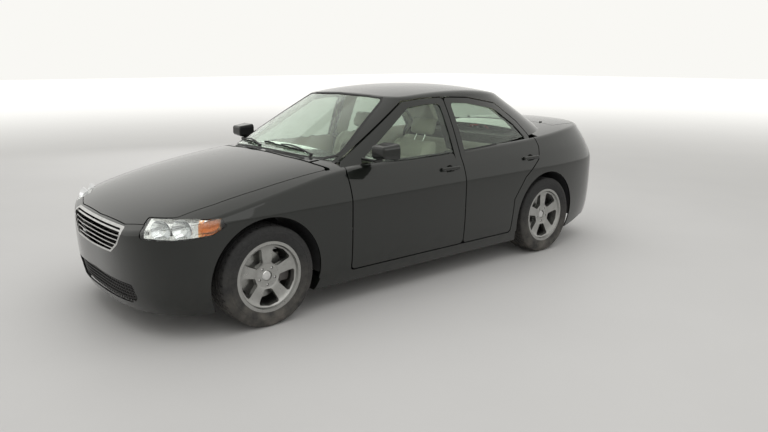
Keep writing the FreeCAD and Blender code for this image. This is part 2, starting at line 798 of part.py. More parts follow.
def front_fender():
    """Left front wing, round the wheel arch."""
    back, front, inner = front_wing_shares
    cutters = [
        bonnet_zone(shut_gap), side_zone(front_bumper_shares, 0, body_width), headlamp_zone(),
        door_hole(front_door_shares), arches(arch_radius),
        block(tail_x, along(wing_inner_share), 0, cowl_side_y, 0, body_height),
    ]
    zone = block(along(back), along(front), side(inner), body_width, sill_top, body_height)
    return largest(body_panel(zone, cutters))


def bonnet_arm():
    """Left hinge arm under the bonnet, with a bore for its pin."""
    y = side(lid_hinge_side_share)
    half = lid_arm_thickness / 2
    arm = side_zone(bonnet_arm_shares, y - half, y + half, hinge_pin_radius)
    pin = V(along(bonnet_hinge_share[0]), y, up(bonnet_hinge_share[1]))
    return arm.cut(rod(lid_pin_radius + running_clearance, pin - V(0, half * 2, 0), pin + V(0, half * 2, 0)))


def lid_pin(place, y, root):
    """Left fixed pin of a lid, held on both sides of the lid's arm by plates from root."""
    x = along(place[0])
    z = up(place[1])
    reach = lid_arm_thickness / 2 + shut_gap
    end = reach + lid_plate_thickness
    pieces = [rod(lid_pin_radius, V(x, y - end, z), V(x, y + end, z))]
    for near in (y - end, y + reach):
        pieces.append(root(near, near + lid_plate_thickness))
    return joined(pieces)


def bonnet():
    cutters = on_both_sides(headlamp_zone(shut_gap)) + [grille_zone(shut_gap)]
    lid = largest(body_panel(bonnet_zone(), cutters, lid_thickness))
    return joined([lid] + on_both_sides(bonnet_arm()))


def boot_arm():
    """Left swan neck arm of the boot lid, with a bore for its pin."""
    y = side(boot_hinge_side_share)
    half = lid_arm_thickness / 2
    arm = side_zone(boot_arm_shares, y - half, y + half)
    pin = V(along(boot_hinge_share[0]), y, up(boot_hinge_share[1]))
    return arm.cut(rod(lid_pin_radius + running_clearance, pin - V(0, half * 2, 0), pin + V(0, half * 2, 0)))


def boot_lid():
    recess = end_zone(both_halves(plate_recess_half_shares), tail_x - overrun, 0, corner_radius / 2)
    lid = largest(body_panel(boot_zone(), [recess.cut(body_form(plate_recess_depth))], lid_thickness))
    return joined([lid] + on_both_sides(boot_arm()))


def rear_body():
    """Rear wings with the panel below the rear window."""
    zone = block(tail_x - overrun, along(quarter_front_share), -body_width, body_width, sill_top, body_height)
    cutters = [
        boot_zone(shut_gap), side_zone(rear_bumper_shares, -body_width, body_width), arches(arch_radius),
        block(along(parcel_front_share), along(1), -cowl_side_y, cowl_side_y, 0, body_height),
    ]
    cutters += on_both_sides(door_hole(rear_door_shares)) + on_both_sides(tail_lamp_zone())
    wing = largest(body_panel(zone, cutters))
    x = along(boot_hinge_share[0])
    base = up(boot_hinge_share[1]) - lid_plate_drop
    half = lid_plate_half_width

    def plate(y0, y1):
        return block(x - half, x + half, y0, y1, base, body_height).common(body_form(skin / 2))

    pin = lid_pin(boot_hinge_share, side(boot_hinge_side_share), plate)
    return joined([wing, pin, mirrored(pin)])


def cowl():
    """Panel below the windscreen and the bulkhead under it."""
    wall_x = along(bulkhead_share)
    back, front, low = cowl_shares
    arm_y = side(lid_hinge_side_share)
    room = lid_arm_thickness / 2 + shut_gap
    slot = block(wall_x + 2 * panel_thickness, nose_x, arm_y - room, arm_y + room, up(low), body_height)
    zone = block(along(back), along(front), -cowl_side_y, cowl_side_y, up(low), body_height)
    wing = block(along(wing_inner_share), nose_x, side(cowl_end_share), body_width, 0, body_height)
    cutters = [bonnet_zone(cowl_gap)] + on_both_sides(slot) + on_both_sides(wing)
    cutters += on_both_sides(door_recess(front_door_shares)) + on_both_sides(door_swing(front_door_shares))
    top = body_panel(zone, cutters)
    half = side_frame_inner_y
    bulkhead = block(wall_x - panel_thickness, wall_x, -half, half, floor_z, body_height)
    z = up(bonnet_hinge_share[1])
    tip_x = along(bonnet_hinge_share[0]) + lid_plate_drop

    def plate(y0, y1):
        return block(wall_x - panel_thickness / 2, tip_x, y0, y1, z - lid_plate_drop, z + lid_plate_drop)

    pin = lid_pin(bonnet_hinge_share, arm_y, plate)
    return joined([top, bulkhead.common(body_form(skin / 2)), pin, mirrored(pin)])


def front_bumper():
    intake = end_zone(both_halves(lower_intake_half_shares), front_axle_x, nose_x + overrun, corner_radius)
    cutters = [bonnet_zone(shut_gap), arches(arch_radius), grille_zone(), intake]
    cutters += on_both_sides(headlamp_zone())
    return largest(body_panel(side_zone(front_bumper_shares, -body_width, body_width), cutters))


def rear_bumper():
    cutters = [boot_zone(shut_gap), arches(arch_radius)] + on_both_sides(tail_lamp_zone())
    return largest(body_panel(side_zone(rear_bumper_shares, -body_width, body_width), cutters))


def grille():
    """Grille between the lamps: a surround with level slats behind its face."""
    surround = body_form().common(grille_zone()).cut(body_form(grille_depth).common(grille_zone()))
    surround = surround.cut(grille_zone(-grille_rim))
    back = body_form(grille_rim).common(grille_zone(-grille_rim / 2)).cut(body_form(grille_depth))
    slots = []
    low, high = grille_half_shares[0][1], grille_half_shares[-1][1]
    pitch = up(high - low) / (slat_count + 1)
    for i in range(slat_count + 1):
        base = up(low) + pitch * i + slat_height / 2
        slots.append(block(0, nose_x + overrun, -body_width, body_width, base, base + pitch - slat_height))
    return joined([surround, back.cut(slots)])


def headlamp():
    """Left headlamp lens, wrapping round the corner."""
    lens = body_form(lens_setback).common(headlamp_zone()).cut(body_form(lens_depth))
    return largest(lens)


def tail_lamp():
    lens = body_form(lens_setback).common(tail_lamp_zone()).cut(body_form(skin)).cut(boot_zone(shut_gap))
    return largest(lens)


def floor_pan():
    """Floor with its tunnel, the step under the rear seat and the boot floor."""
    step_x = along(seat_step_share)
    front_x = along(bulkhead_share) - panel_thickness
    edge_y = side_frame_inner_y
    floor = block(step_x, front_x, -edge_y, edge_y, floor_z, floor_z + floor_thickness)
    half = side(tunnel_share)
    wall = floor_thickness
    tunnel = block(step_x, front_x, -half, half, floor_z, tunnel_top)
    hollow = block(step_x - wall, front_x + wall, wall - half, half - wall, 0, tunnel_top - wall)
    step_end = step_x + panel_thickness
    step = block(step_x, step_end, -edge_y, edge_y, floor_z, boot_floor_z)
    inner = rear_liner_inner_y - liner_thickness
    boot_top = boot_floor_z + panel_thickness
    boot = block(step_end, along(boot_floor_end_share), -inner, inner, boot_floor_z, boot_top)
    return joined([floor, tunnel, step, boot]).cut(hollow)


def wheel_liner(x, inner_y):
    """Left wheel arch liner: a half round cup behind the wing."""
    reach = 2 * arch_radius
    near = inner_y - liner_thickness
    top = block(x - reach, x + reach, near, body_width, up(liner_low_share), body_height)
    outer = rod(liner_radius + liner_thickness, V(x, near, tyre_radius), V(x, body_width, tyre_radius))
    space = rod(liner_radius, V(x, inner_y, tyre_radius), V(x, body_width, tyre_radius))
    half = 2 * disc_radius
    arm_room = block(x - half, x + half, 0, inner_y + liner_thickness, 0, up(arm_room_top_share))
    return outer.cut(space).common(top).common(body_form(skin)).cut(arm_room)


def front_structure():
    """Inner wings beside the engine and the frame that carries the radiator."""
    radiator_x = along(radiator_share)
    back_x = along(bulkhead_share)
    low = up(apron_low_share)
    half = 2 * disc_radius
    outer = engine_bay_y + panel_thickness
    parts = []
    for sign in (1, -1):
        plate = block(back_x, radiator_x, sign * engine_bay_y, sign * outer, low, body_height)
        top = up(arm_room_top_share)
        room = block(front_axle_x - half, front_axle_x + half, 0, sign * body_width, 0, top)
        parts.append(plate.cut(room))
    core_x = radiator_x + panel_thickness
    panel = block(radiator_x, core_x + 2 * panel_thickness, -outer, outer, low, body_height)
    width, base, top = radiator_window_shares
    windows = []
    for near, far in ((0, core_x), (core_x + panel_thickness, nose_x)):
        windows.append(block(near, far, -side(width), side(width), up(base), up(top)))
    return joined(parts + [panel.cut(windows)]).common(body_form(lid_thickness + shut_gap))


def engine_block():
    back, front, width, top = engine_shares
    body = block(along(back), along(front), -side(width), side(width), engine_base_z, up(top))
    return body.makeFillet(corner_radius, body.Edges)


def exhaust():
    """Pipe from the engine along the tunnel to the silencer and its tail pipe."""
    z = floor_z - shut_gap - pipe_radius
    y = side(exhaust_side_share)
    front = V(along(exhaust_shares[0]), y, z)
    back = V(along(exhaust_shares[1]), y, z)
    tail, nose, width, low, high = silencer_shares
    silencer = block(along(tail), along(nose), -side(width), side(width), up(low), up(high))
    silencer = silencer.makeFillet(silencer_fillet, silencer.Edges)
    pipe = rod(pipe_radius, front, back)
    link = rod(pipe_radius, back, V(along(silencer_link_shares[0]), y, up(silencer_link_shares[1])))
    rise = rod(pipe_radius, front, V(front.x, y, engine_base_z))
    root, inner, tip = [V(along(u), side(tail_pipe_side_share), up(h)) for u, h in tail_pipe_shares]
    outlet = rod(pipe_radius, root, tip)
    return joined([pipe, rise, link, silencer, outlet]).cut(rod(pipe_radius - pipe_wall, tip, inner))


def rim_barrel():
    """The rim's round barrel with a flange at each side, about the Y axis."""
    half = rim_width / 2
    lip = rim_radius - bead_radius
    well = rim_width / 6
    outer = [
        (bead_radius - rim_wall, -half), (rim_radius, -half), (rim_radius, -half + lip / 2),
        (bead_radius, -half + lip), (bead_radius, half - lip), (rim_radius, half - lip / 2),
        (rim_radius, half), (bead_radius - rim_wall, half), (bead_radius - 2 * rim_wall, half - well / 2),
        (bead_radius - 2 * rim_wall, well), (bead_radius - rim_wall, -half + well),
    ]
    face = Part.Face(Part.makePolygon([V(r, y, 0) for r, y in outer + outer[:1]]))
    return face.revolve(V(0, 0, 0), V(0, 1, 0), 360)


def spoke_window():
    """Rounded opening between two spokes, from the front."""
    half_gap = math.pi / spoke_count
    corners = []
    for radius, web in ((window_inner_radius, spoke_root), (window_outer_radius, spoke_tip)):
        spread = half_gap - math.asin(web / 2 / radius)
        corners.append((radius * math.cos(spread), radius * math.sin(spread)))
    (x0, y0), (x1, y1) = corners
    face = outline([(x0, -y0), (x1, -y1), (window_outer_radius, 0.0), (x1, y1), (x0, y0)], window_corner)
    face.rotate(V(0, 0, 0), V(1, 0, 0), 90)
    face.translate(V(0, -rim_width, 0))
    return face.extrude(V(0, 2 * rim_width, 0))


def wheel_face():
    """Dished face of the wheel, from the hub out to the barrel."""
    half = rim_width / 2
    reach = bead_radius - rim_wall
    front, back = [
        [V(hub_radius + u * (reach - hub_radius), y * half, 0) for u, y in shares]
        for shares in (wheel_face_shares, wheel_back_shares)
    ]
    middle = [V(0, back[-1].y, 0), V(0, front[0].y, 0)]
    curve = Part.BSplineCurve()
    curve.interpolate(front)
    corners = [front[-1]] + back + middle + [front[0]]
    edges = [curve.toShape()] + [Part.makeLine(a, b) for a, b in zip(corners, corners[1:])]
    return Part.Face(Part.Wire(edges)).revolve(V(0, 0, 0), V(0, 1, 0), 360)


def rim():
    """Wheel rim with five spokes, hub and brake disc, about the Y axis with its outer face to +Y."""
    half = rim_width / 2
    pitch = 360 / spoke_count
    windows = []
    for i in range(spoke_count):
        window = spoke_window()
        window.rotate(V(0, 0, 0), V(0, 1, 0), 270 + pitch * (i + 0.5))
        windows.append(window)
    cup = rod(cap_radius, V(0, half * cup_floor_share, 0), V(0, half, 0))
    face = wheel_face().cut(windows + [cup])
    disc = rod(disc_radius, V(0, -disc_setback, 0), V(0, disc_thickness - disc_setback, 0))
    bore_end = half * bore_end_share
    bell = rod(bell_radius, V(0, -disc_setback, 0), V(0, bore_end, 0))
    whole = joined([rim_barrel(), face, disc, bell])
    bores = [rod(spindle_radius + running_clearance, V(0, -half, 0), V(0, bore_end, 0))]
    for i in range(spoke_count):
        angle = math.radians(pitch * i - 90)
        centre = V(math.cos(angle) * lug_circle_radius, bore_end, math.sin(angle) * lug_circle_radius)
        bores.append(rod(lug_radius, centre, centre + V(0, half, 0)))
    return whole.cut(bores)


def tyre():
    """Tyre about the Y axis, its beads between the rim's flanges."""
    bead = rim_width / 2 - (rim_radius - bead_radius)
    wall = tyre_radius - bead_radius
    half = [(y * tyre_width / 2, tyre_radius - drop * wall) for y, drop in tyre_side_shares]
    profile = [(bead, bead_radius)] + half
    ring = [V(r, y, 0) for y, r in profile] + [V(r, -y, 0) for y, r in reversed(profile)]
    return Part.Face(Part.makePolygon(ring + ring[:1])).revolve(V(0, 0, 0), V(0, 1, 0), 360)


def placed(shape, x, sign):
    """A wheel piece on its axle, turned so that its outer face looks outwards."""
    made = shape.copy()
    if sign < 0:
        made.rotate(V(0, 0, 0), V(0, 0, 1), 180)
    made.translate(V(x, sign * wheel_y, tyre_radius))
    return made


def knuckle():
    """Left steering knuckle with its spindle and brake caliper, turning about two upright pins."""
    x = front_axle_x
    width = knuckle_width
    half = width / 2
    low = up(knuckle_base_share)
    high = up(knuckle_top_share)
    bar = block(x - half, x + half, steer_y - half, steer_y + half - shut_gap, low, high)
    axle = V(x, steer_y, tyre_radius)
    spindle = rod(spindle_radius, axle, V(x, wheel_y + rim_width / 4 - moving_gap, tyre_radius))
    turn = math.radians(caliper_angle)
    arm = rod(half, axle, axle + V(math.cos(turn) * disc_radius, 0, 0))
    disc_y = wheel_y - disc_setback
    disc_end = disc_y + disc_thickness
    cx = x - disc_radius
    rise = caliper_length / 2
    wall_y = disc_end + caliper_wall
    caliper = block(cx - width, cx + width, steer_y - half, wall_y, tyre_radius - rise, tyre_radius + rise)
    middle = V(x, 0, tyre_radius)
    outward = V(0, body_width, 0)
    caliper = caliper.common(rod(bead_radius - 3 * rim_wall, middle, middle + outward))
    slot = block(cx - 2 * width, cx + 2 * width, disc_y - moving_gap, disc_end + moving_gap, 0, body_height)
    slot = slot.common(rod(disc_radius + moving_gap, middle, middle + outward))
    bore = rod(spindle_radius / 2 + running_clearance, V(x, steer_y, 0), V(x, steer_y, body_height))
    bores = [
        bore.common(block(tail_x, nose_x, 0, body_width, 0, low + pin_depth)),
        bore.common(block(tail_x, nose_x, 0, body_width, high - pin_depth, body_height)),
    ]
    return joined([bar, spindle, arm, caliper.cut(slot)]).cut(bores)


def front_subframe():
    """Cross member with the arms that carry the knuckles."""
    x = front_axle_x
    across, base = cross_member_shares
    reach = cross_member_half_length
    low = up(knuckle_base_share) - shut_gap
    high = up(knuckle_top_share) + shut_gap
    pin_end = pin_depth - moving_gap
    wide = arm_half_width
    tip = arm_tip_half_width
    parts = [block(x - reach, x + reach, -side(across), side(across), up(base), engine_base_z)]
    for sign in (1, -1):
        y = sign * steer_y
        root = sign * side(arm_root_share)
        end = y + sign * arm_overhang
        spring_y = sign * side(spring_side_share)
        wishbone = [
            (x - wide, root), (x - wide, spring_y), (x - tip, end), (x + tip, end), (x + wide, spring_y),
            (x + wide, root),
        ]
        lower = outline(wishbone)
        lower.translate(V(0, 0, low - arm_thickness))
        lower = lower.extrude(V(0, 0, arm_thickness))
        upper = outline(wishbone)
        upper.translate(V(0, 0, high))
        hole = rod(spring_radius + shut_gap, V(x, spring_y, 0), V(x, spring_y, body_height))
        upper = upper.extrude(V(0, 0, arm_thickness)).cut(hole)
        post_in, post_out = post_shares
        post = block(x - wide, x + wide, sign * side(post_in), sign * side(post_out), low - arm_thickness,
                     high + arm_thickness)
        pin_low = rod(spindle_radius / 2, V(x, y, low - arm_thickness), V(x, y, low + shut_gap + pin_end))
        pin_high = rod(spindle_radius / 2, V(x, y, high - shut_gap - pin_end), V(x, y, high + arm_thickness))
        parts += [lower, upper, post, pin_low, pin_high]
    return joined(parts)


def rear_axle():
    """Rear cross member with its arms and wheel spindles."""
    x = rear_axle_x
    reach = rear_cross_half_length
    across, low, high = rear_cross_shares
    parts = [block(x - reach, x + reach, -side(across), side(across), up(low), up(high))]
    for sign in (1, -1):
        carrier_y = sign * (steer_y - carrier_thickness)
        root, low, high = rear_arm_shares
        half = rear_arm_half_width
        arm = block(x - half, x + half, sign * side(root), carrier_y, up(low), up(high))
        low, high = carrier_shares
        half = carrier_half_width
        carrier = block(x - half, x + half, carrier_y, sign * steer_y, up(low), up(high))
        spindle_end = sign * (wheel_y + rim_width / 4 - moving_gap)
        spindle = rod(spindle_radius, V(x, carrier_y, tyre_radius), V(x, spindle_end, tyre_radius))
        parts += [arm, carrier, spindle]
    return joined(parts)


def springs():
    """Spring and damper units of all four wheels."""
    units = []
    front_base = up(knuckle_base_share) - shut_gap
    rear_base = up(rear_arm_shares[-1])
    for x, base, top in ((front_axle_x, front_base, body_height), (rear_axle_x, rear_base, boot_floor_z)):
        for sign in (1, -1):
            y = sign * side(spring_side_share)
            unit = rod(spring_radius, V(x, y, base), V(x, y, top))
            units.append(unit.common(arches(liner_radius)))
    return Part.makeCompound(units)


def front_seat():
    """Left front seat: cushion, leaning back and head rest."""
    y = side(seat_side_share)
    half = side(seat_half_share)
    back_half, base_half, rest_half, stalk_half = [half * share for share in seat_width_shares]
    rear, front, low, high = seat_cushion_shares
    cushion = block(along(rear), along(front), y - half, y + half, up(low), up(high))
    cushion = cushion.makeFillet(seat_fillet, cushion.Edges)
    back = side_zone(seat_back_shares, y - back_half, y + back_half, corner_radius)
    rest = side_zone(head_rest_shares, y - rest_half, y + rest_half, corner_radius / 2)
    stalks = side_zone(head_stalk_shares, y - stalk_half, y + stalk_half)
    rear, front, high = seat_base_shares
    base = block(along(rear), along(front), y - base_half, y + base_half, floor_z + floor_thickness, up(high))
    return joined([cushion, back, rest, stalks, base])


def rear_seat():
    half = side(rear_seat_half_share)
    cushion = side_zone(rear_cushion_shares, -half, half, corner_radius)
    step_x = along(seat_step_share) + panel_thickness
    under = block(tail_x, nose_x, -body_width, body_width, 0, floor_z + floor_thickness)
    behind = block(tail_x, step_x, -body_width, body_width, 0, boot_floor_z + panel_thickness)
    back = side_zone(rear_back_shares, -half, half, corner_radius)
    return joined([cushion, back]).cut([under, behind, tunnel_room()])


def tunnel_room():
    """Space that the floor's tunnel takes up in the cabin."""
    half = side(tunnel_share)
    return block(along(0), along(1), -half, half, 0, tunnel_top)


def dashboard():
    """Dashboard across the car with the centre console behind it."""
    half = side(dashboard_half_share)
    board = side_zone(dashboard_shares, -half, half, corner_radius)
    half = side(console_half_share)
    console = side_zone(console_shares, -half, half, corner_radius / 2)
    bulkhead_x = along(bulkhead_share) - panel_thickness
    ahead = block(bulkhead_x, nose_x, -body_width, body_width, 0, body_height)
    return joined([board, console]).cut([tunnel_room(), ahead]).common(body_form(2 * skin))


def steering_wheel():
    """Leaning steering wheel on its column, in front of the left seat."""
    radius = steering_wheel_radius
    width = steering_spoke_half_width
    depth = steering_spoke_half_thickness
    back = -steering_hub_thickness / 2
    wheel = Part.makeTorus(radius, steering_wheel_grip)
    hub = Part.makeCylinder(steering_hub_radius, steering_hub_thickness, V(0, 0, back))
    column = Part.makeCylinder(column_radius, column_length, V(0, 0, -column_length))
    parts = [wheel, hub, column]
    for angle in (0, 180, 270):
        spoke = block(0, radius, -width, width, -depth, depth)
        spoke.rotate(V(0, 0, 0), V(0, 0, 1), angle)
        parts.append(spoke)
    whole = joined(parts)
    whole.rotate(V(0, 0, 0), V(0, 0, 1), 90)
    whole.rotate(V(0, 0, 0), V(0, 1, 0), -column_lean)
    place, height = steering_wheel_shares
    whole.translate(V(along(place), side(seat_side_share), up(height)))
    return whole.cut(dashboard())


def export(name, shape):
    """Write one piece under its name."""
    shape.exportStep("parts/" + name + ".step")


def build():
    """Make every piece and write it."""
    os.makedirs("parts", exist_ok=True)
    wheel_rim = rim()
    wheel_tyre = tyre()
    left_knuckle = knuckle()
    left_fender = front_fender()
    doors = {
        "front_door": door(front_door_shares, front_window_shares),
        "rear_door": door(rear_door_shares, rear_window_shares),
        "front_door_glass": door_glass(front_window_shares),
        "rear_door_glass": door_glass(rear_window_shares),
        "door_mirror": mirror(),
        "front_fender": left_fender,
        "side_frame": side_frame(),
        "front_seat": front_seat(),
        "steering_knuckle": left_knuckle,
    }
    for name, shape in doors.items():
        export(name + "_left", shape)
        export(name + "_right", mirrored(shape))
    for end, x in (("front", front_axle_x), ("rear", rear_axle_x)):
        for hand, sign in (("left", 1), ("right", -1)):
            export(end + "_rim_" + hand, placed(wheel_rim, x, sign))
            export(end + "_tyre_" + hand, placed(wheel_tyre, x, sign))
    liners = [wheel_liner(front_axle_x, liner_inner_y), wheel_liner(rear_axle_x, rear_liner_inner_y)]
    single = {
        "roof_and_pillars": roof_and_pillars(),
        "rear_body": rear_body(),
        "cowl": cowl(),
        "bonnet": bonnet(),
        "boot_lid": boot_lid(),
        "front_bumper": front_bumper(),
        "rear_bumper": rear_bumper(),
        "grille": grille(),
        "windscreen": windscreen(),
        "rear_window": rear_screen(),
        "headlamps": pair(headlamp()),
        "tail_lamps": pair(tail_lamp()),
        "floor_pan": floor_pan(),
        "wheel_liners": Part.makeCompound(liners + [mirrored(liner) for liner in liners]),
        "front_structure": front_structure(),
        "engine_block": engine_block(),
        "exhaust": exhaust(),
        "front_subframe": front_subframe(),
        "rear_axle": rear_axle(),
        "springs": springs(),
        "rear_seat": rear_seat(),
        "dashboard": dashboard(),
        "steering_wheel": steering_wheel(),
    }
    for name, shape in single.items():
        export(name, shape)


if __name__ == "__main__":
    build()
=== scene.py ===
"""Looks of a four-door saloon car: its finishes, tyres, lamps, seats and trim, and the studio round it."""
import json
import math
import bpy
from mathutils import Matrix, Vector
from mathutils.bvhtree import BVHTree


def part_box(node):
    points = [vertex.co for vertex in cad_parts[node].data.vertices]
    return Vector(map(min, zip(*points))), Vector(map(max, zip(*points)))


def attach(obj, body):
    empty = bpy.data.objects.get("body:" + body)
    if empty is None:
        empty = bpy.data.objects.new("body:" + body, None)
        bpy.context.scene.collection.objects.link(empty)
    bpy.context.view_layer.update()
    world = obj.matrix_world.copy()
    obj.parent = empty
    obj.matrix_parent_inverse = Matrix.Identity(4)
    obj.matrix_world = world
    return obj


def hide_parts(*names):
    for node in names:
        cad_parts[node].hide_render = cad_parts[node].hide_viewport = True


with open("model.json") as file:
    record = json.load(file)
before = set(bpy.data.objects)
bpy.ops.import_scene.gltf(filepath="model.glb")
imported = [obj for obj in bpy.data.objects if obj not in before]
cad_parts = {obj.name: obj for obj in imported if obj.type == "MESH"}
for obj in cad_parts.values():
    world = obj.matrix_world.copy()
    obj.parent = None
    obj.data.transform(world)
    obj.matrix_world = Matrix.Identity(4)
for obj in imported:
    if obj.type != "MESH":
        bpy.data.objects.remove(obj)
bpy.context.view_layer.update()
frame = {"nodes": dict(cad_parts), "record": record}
nodes = frame["nodes"]

# Photograph's camera, from the middle of the wheelbase
camera_offset = Vector((3.4525, 4.4602, 1.6316))
camera_heading = -2.26955
camera_pitch = 0.2226
photo_width = 768
focal_pixels = 689.5
sensor_width = 36.0

# Paint and other colours, linear
paint_colour = (0.0035, 0.0048, 0.0037, 1)
paint_shift = (0.009, 0.0112, 0.0086, 1)
black_colour = (0.012, 0.012, 0.013, 1)
grey_plastic = (0.030, 0.030, 0.032, 1)
rubber_colour = (0.018, 0.018, 0.018, 1)
alloy_colour = (0.36, 0.36, 0.345, 1)
iron_colour = (0.20, 0.19, 0.18, 1)
cast_colour = (0.10, 0.10, 0.10, 1)
steel_colour = (0.42, 0.41, 0.39, 1)
dust_colour = (0.23, 0.21, 0.18, 1)
cabin_colour = (0.62, 0.60, 0.52, 1)
cabin_shade = (0.50, 0.48, 0.41, 1)
carpet_colour = (0.10, 0.095, 0.085, 1)
glass_tint = (0.80, 0.91, 0.81, 1)
amber_colour = (1.0, 0.50, 0.20, 1)
red_colour = (0.55, 0.012, 0.012, 1)
clear_tint = (0.92, 0.94, 0.93, 1)
lamp_colour = (0.80, 0.80, 0.78, 1)
paper_white = (0.75, 0.75, 0.72, 1)
backdrop_colour = (0.947, 0.939, 0.905, 1)
floor_fade = (3.0, 24.0)
floor_colour = (0.56, 0.555, 0.55, 1)
floor_reach = 60.0

body_of_node = {}
for body, members in frame["record"]["behaviour"]["bodies"].items():
    for member in members:
        body_of_node[member] = body


def both(*stems):
    """Left and right names of paired nodes."""
    return [stem + "_" + hand for stem in stems for hand in ("left", "right")]


def middle(node):
    low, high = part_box(node)
    return (low + high) / 2


def size(node):
    low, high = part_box(node)
    return high - low


def shaded(colour, share):
    """The colour made darker or lighter."""
    return tuple(c * share for c in colour[:3]) + (1,)


wheelbase_middle = (middle("front_tyre_left").x + middle("rear_tyre_left").x) / 2


# Shader groups

def new_group(name, inputs, outputs):
    """An empty shader group with its sockets and its two end nodes."""
    tree = bpy.data.node_groups.new(name, "ShaderNodeTree")
    for label, kind, value in inputs:
        made = tree.interface.new_socket(label, in_out="INPUT", socket_type="NodeSocket" + kind)
        made.default_value = value
    for label, kind in outputs:
        tree.interface.new_socket(label, in_out="OUTPUT", socket_type="NodeSocket" + kind)
    return tree, tree.nodes.new("NodeGroupInput"), tree.nodes.new("NodeGroupOutput")


def add(tree, kind, values=None, links=None, **settings):
    """A node with its settings, socket values and links in."""
    made = tree.nodes.new("ShaderNode" + kind)
    for key, value in settings.items():
        setattr(made, key, value)
    for key, value in (values or {}).items():
        made.inputs[key].default_value = value
    for key, source in (links or {}).items():
        tree.links.new(source, made.inputs[key])
    return made


def blend_colours(tree, mask, first, second):
    """The first colour where the mask is 0 and the second where it is 1."""
    made = tree.nodes.new("ShaderNodeMix")
    made.data_type = "RGBA"
    tree.links.new(mask, made.inputs[0])
    for slot, value in ((6, first), (7, second)):
        if hasattr(value, "is_output"):
            tree.links.new(value, made.inputs[slot])
        else:
            made.inputs[slot].default_value = value
    return made.outputs[2]


def mottle_group():
    """Two colours in soft patches."""
    tree, ins, outs = new_group("mottle", [
        ("First", "Color", (1, 1, 1, 1)), ("Second", "Color", (0, 0, 0, 1)), ("Scale", "Float", 20.0),
    ], [("Color", "Color")])
    place = add(tree, "TexCoord").outputs["Object"]
    noise = add(tree, "TexNoise", {"Detail": 5.0}, {"Vector": place, "Scale": ins.outputs["Scale"]})
    ramp = add(tree, "MapRange", {"From Min": 0.35, "From Max": 0.65}, {"Value": noise.outputs["Fac"]})
    mixed = blend_colours(tree, ramp.outputs["Result"], ins.outputs["First"], ins.outputs["Second"])
    tree.links.new(mixed, outs.inputs["Color"])
    return tree


def uneven_group():
    """A value that wanders between two ends."""
    tree, ins, outs = new_group("uneven", [
        ("Low", "Float", 0.3), ("High", "Float", 0.5), ("Scale", "Float", 60.0),
    ], [("Value", "Float")])
    place = add(tree, "TexCoord").outputs["Object"]
    noise = add(tree, "TexNoise", {"Detail": 6.0}, {"Vector": place, "Scale": ins.outputs["Scale"]})
    ramp = add(tree, "MapRange", {"From Min": 0.3, "From Max": 0.7}, {
        "Value": noise.outputs["Fac"], "To Min": ins.outputs["Low"], "To Max": ins.outputs["High"]})
    tree.links.new(ramp.outputs["Result"], outs.inputs["Value"])
    return tree


def grain_group():
    """Small pebbled relief, as on moulded plastic and rubber."""
    tree, ins, outs = new_group("grain", [
        ("Scale", "Float", 900.0), ("Depth", "Float", 0.0002),
    ], [("Normal", "Vector")])
    place = add(tree, "TexCoord").outputs["Object"]
    cells = add(tree, "TexVoronoi", {}, {"Vector": place, "Scale": ins.outputs["Scale"]})
    bump = add(tree, "Bump", {"Strength": 0.6},
               {"Distance": ins.outputs["Depth"], "Height": cells.outputs["Distance"]})
    tree.links.new(bump.outputs["Normal"], outs.inputs["Normal"])
    return tree


def weave_group():
    """Threads of a seat cloth: relief, with a mask of the raised threads."""
    tree, ins, outs = new_group("weave", [
        ("Threads", "Float", 900.0), ("Depth", "Float", 0.0003),
    ], [("Normal", "Vector"), ("Mask", "Float")])
    place = add(tree, "TexCoord").outputs["Object"]
    halves = []
    for axis in ("X", "DIAGONAL"):
        halves.append(add(tree, "TexWave", {"Distortion": 1.2, "Detail": 1.0}, {
            "Vector": place, "Scale": ins.outputs["Threads"]}, bands_direction=axis))
    raised = add(tree, "Math", {}, {0: halves[0].outputs["Fac"], 1: halves[1].outputs["Fac"]},
                 operation="MULTIPLY")
    bump = add(tree, "Bump", {"Strength": 0.7},
               {"Distance": ins.outputs["Depth"], "Height": raised.outputs["Value"]})
    tree.links.new(bump.outputs["Normal"], outs.inputs["Normal"])
    tree.links.new(raised.outputs["Value"], outs.inputs["Mask"])
    return tree


def road_dust_group():
    """Dust that thickens towards the ground: the colour with it, and how much lies there."""
    tree, ins, outs = new_group("road_dust", [
        ("Color", "Color", (1, 1, 1, 1)), ("Dust", "Color", dust_colour),
        ("Reach", "Float", 0.45), ("Amount", "Float", 0.25),
    ], [("Color", "Color"), ("Mask", "Float")])
    place = add(tree, "TexCoord").outputs["Object"]
    split = add(tree, "SeparateXYZ", {}, {"Vector": place})
    height = add(tree, "MapRange", {"From Min": 0.0, "To Min": 1.0, "To Max": 0.0}, {
        "Value": split.outputs["Z"], "From Max": ins.outputs["Reach"]})
    noise = add(tree, "TexNoise", {"Scale": 14.0, "Detail": 8.0}, {"Vector": place})
    patch = add(tree, "MapRange", {"From Min": 0.3, "From Max": 0.75}, {"Value": noise.outputs["Fac"]})
    dusty = add(tree, "Math", {}, {0: height.outputs["Result"], 1: patch.outputs["Result"]},
                operation="MULTIPLY")
    share = add(tree, "Math", {}, {0: dusty.outputs["Value"], 1: ins.outputs["Amount"]}, operation="MULTIPLY")
    mixed = blend_colours(tree, share.outputs["Value"], ins.outputs["Color"], ins.outputs["Dust"])
    tree.links.new(mixed, outs.inputs["Color"])
    tree.links.new(share.outputs["Value"], outs.inputs["Mask"])
    return tree


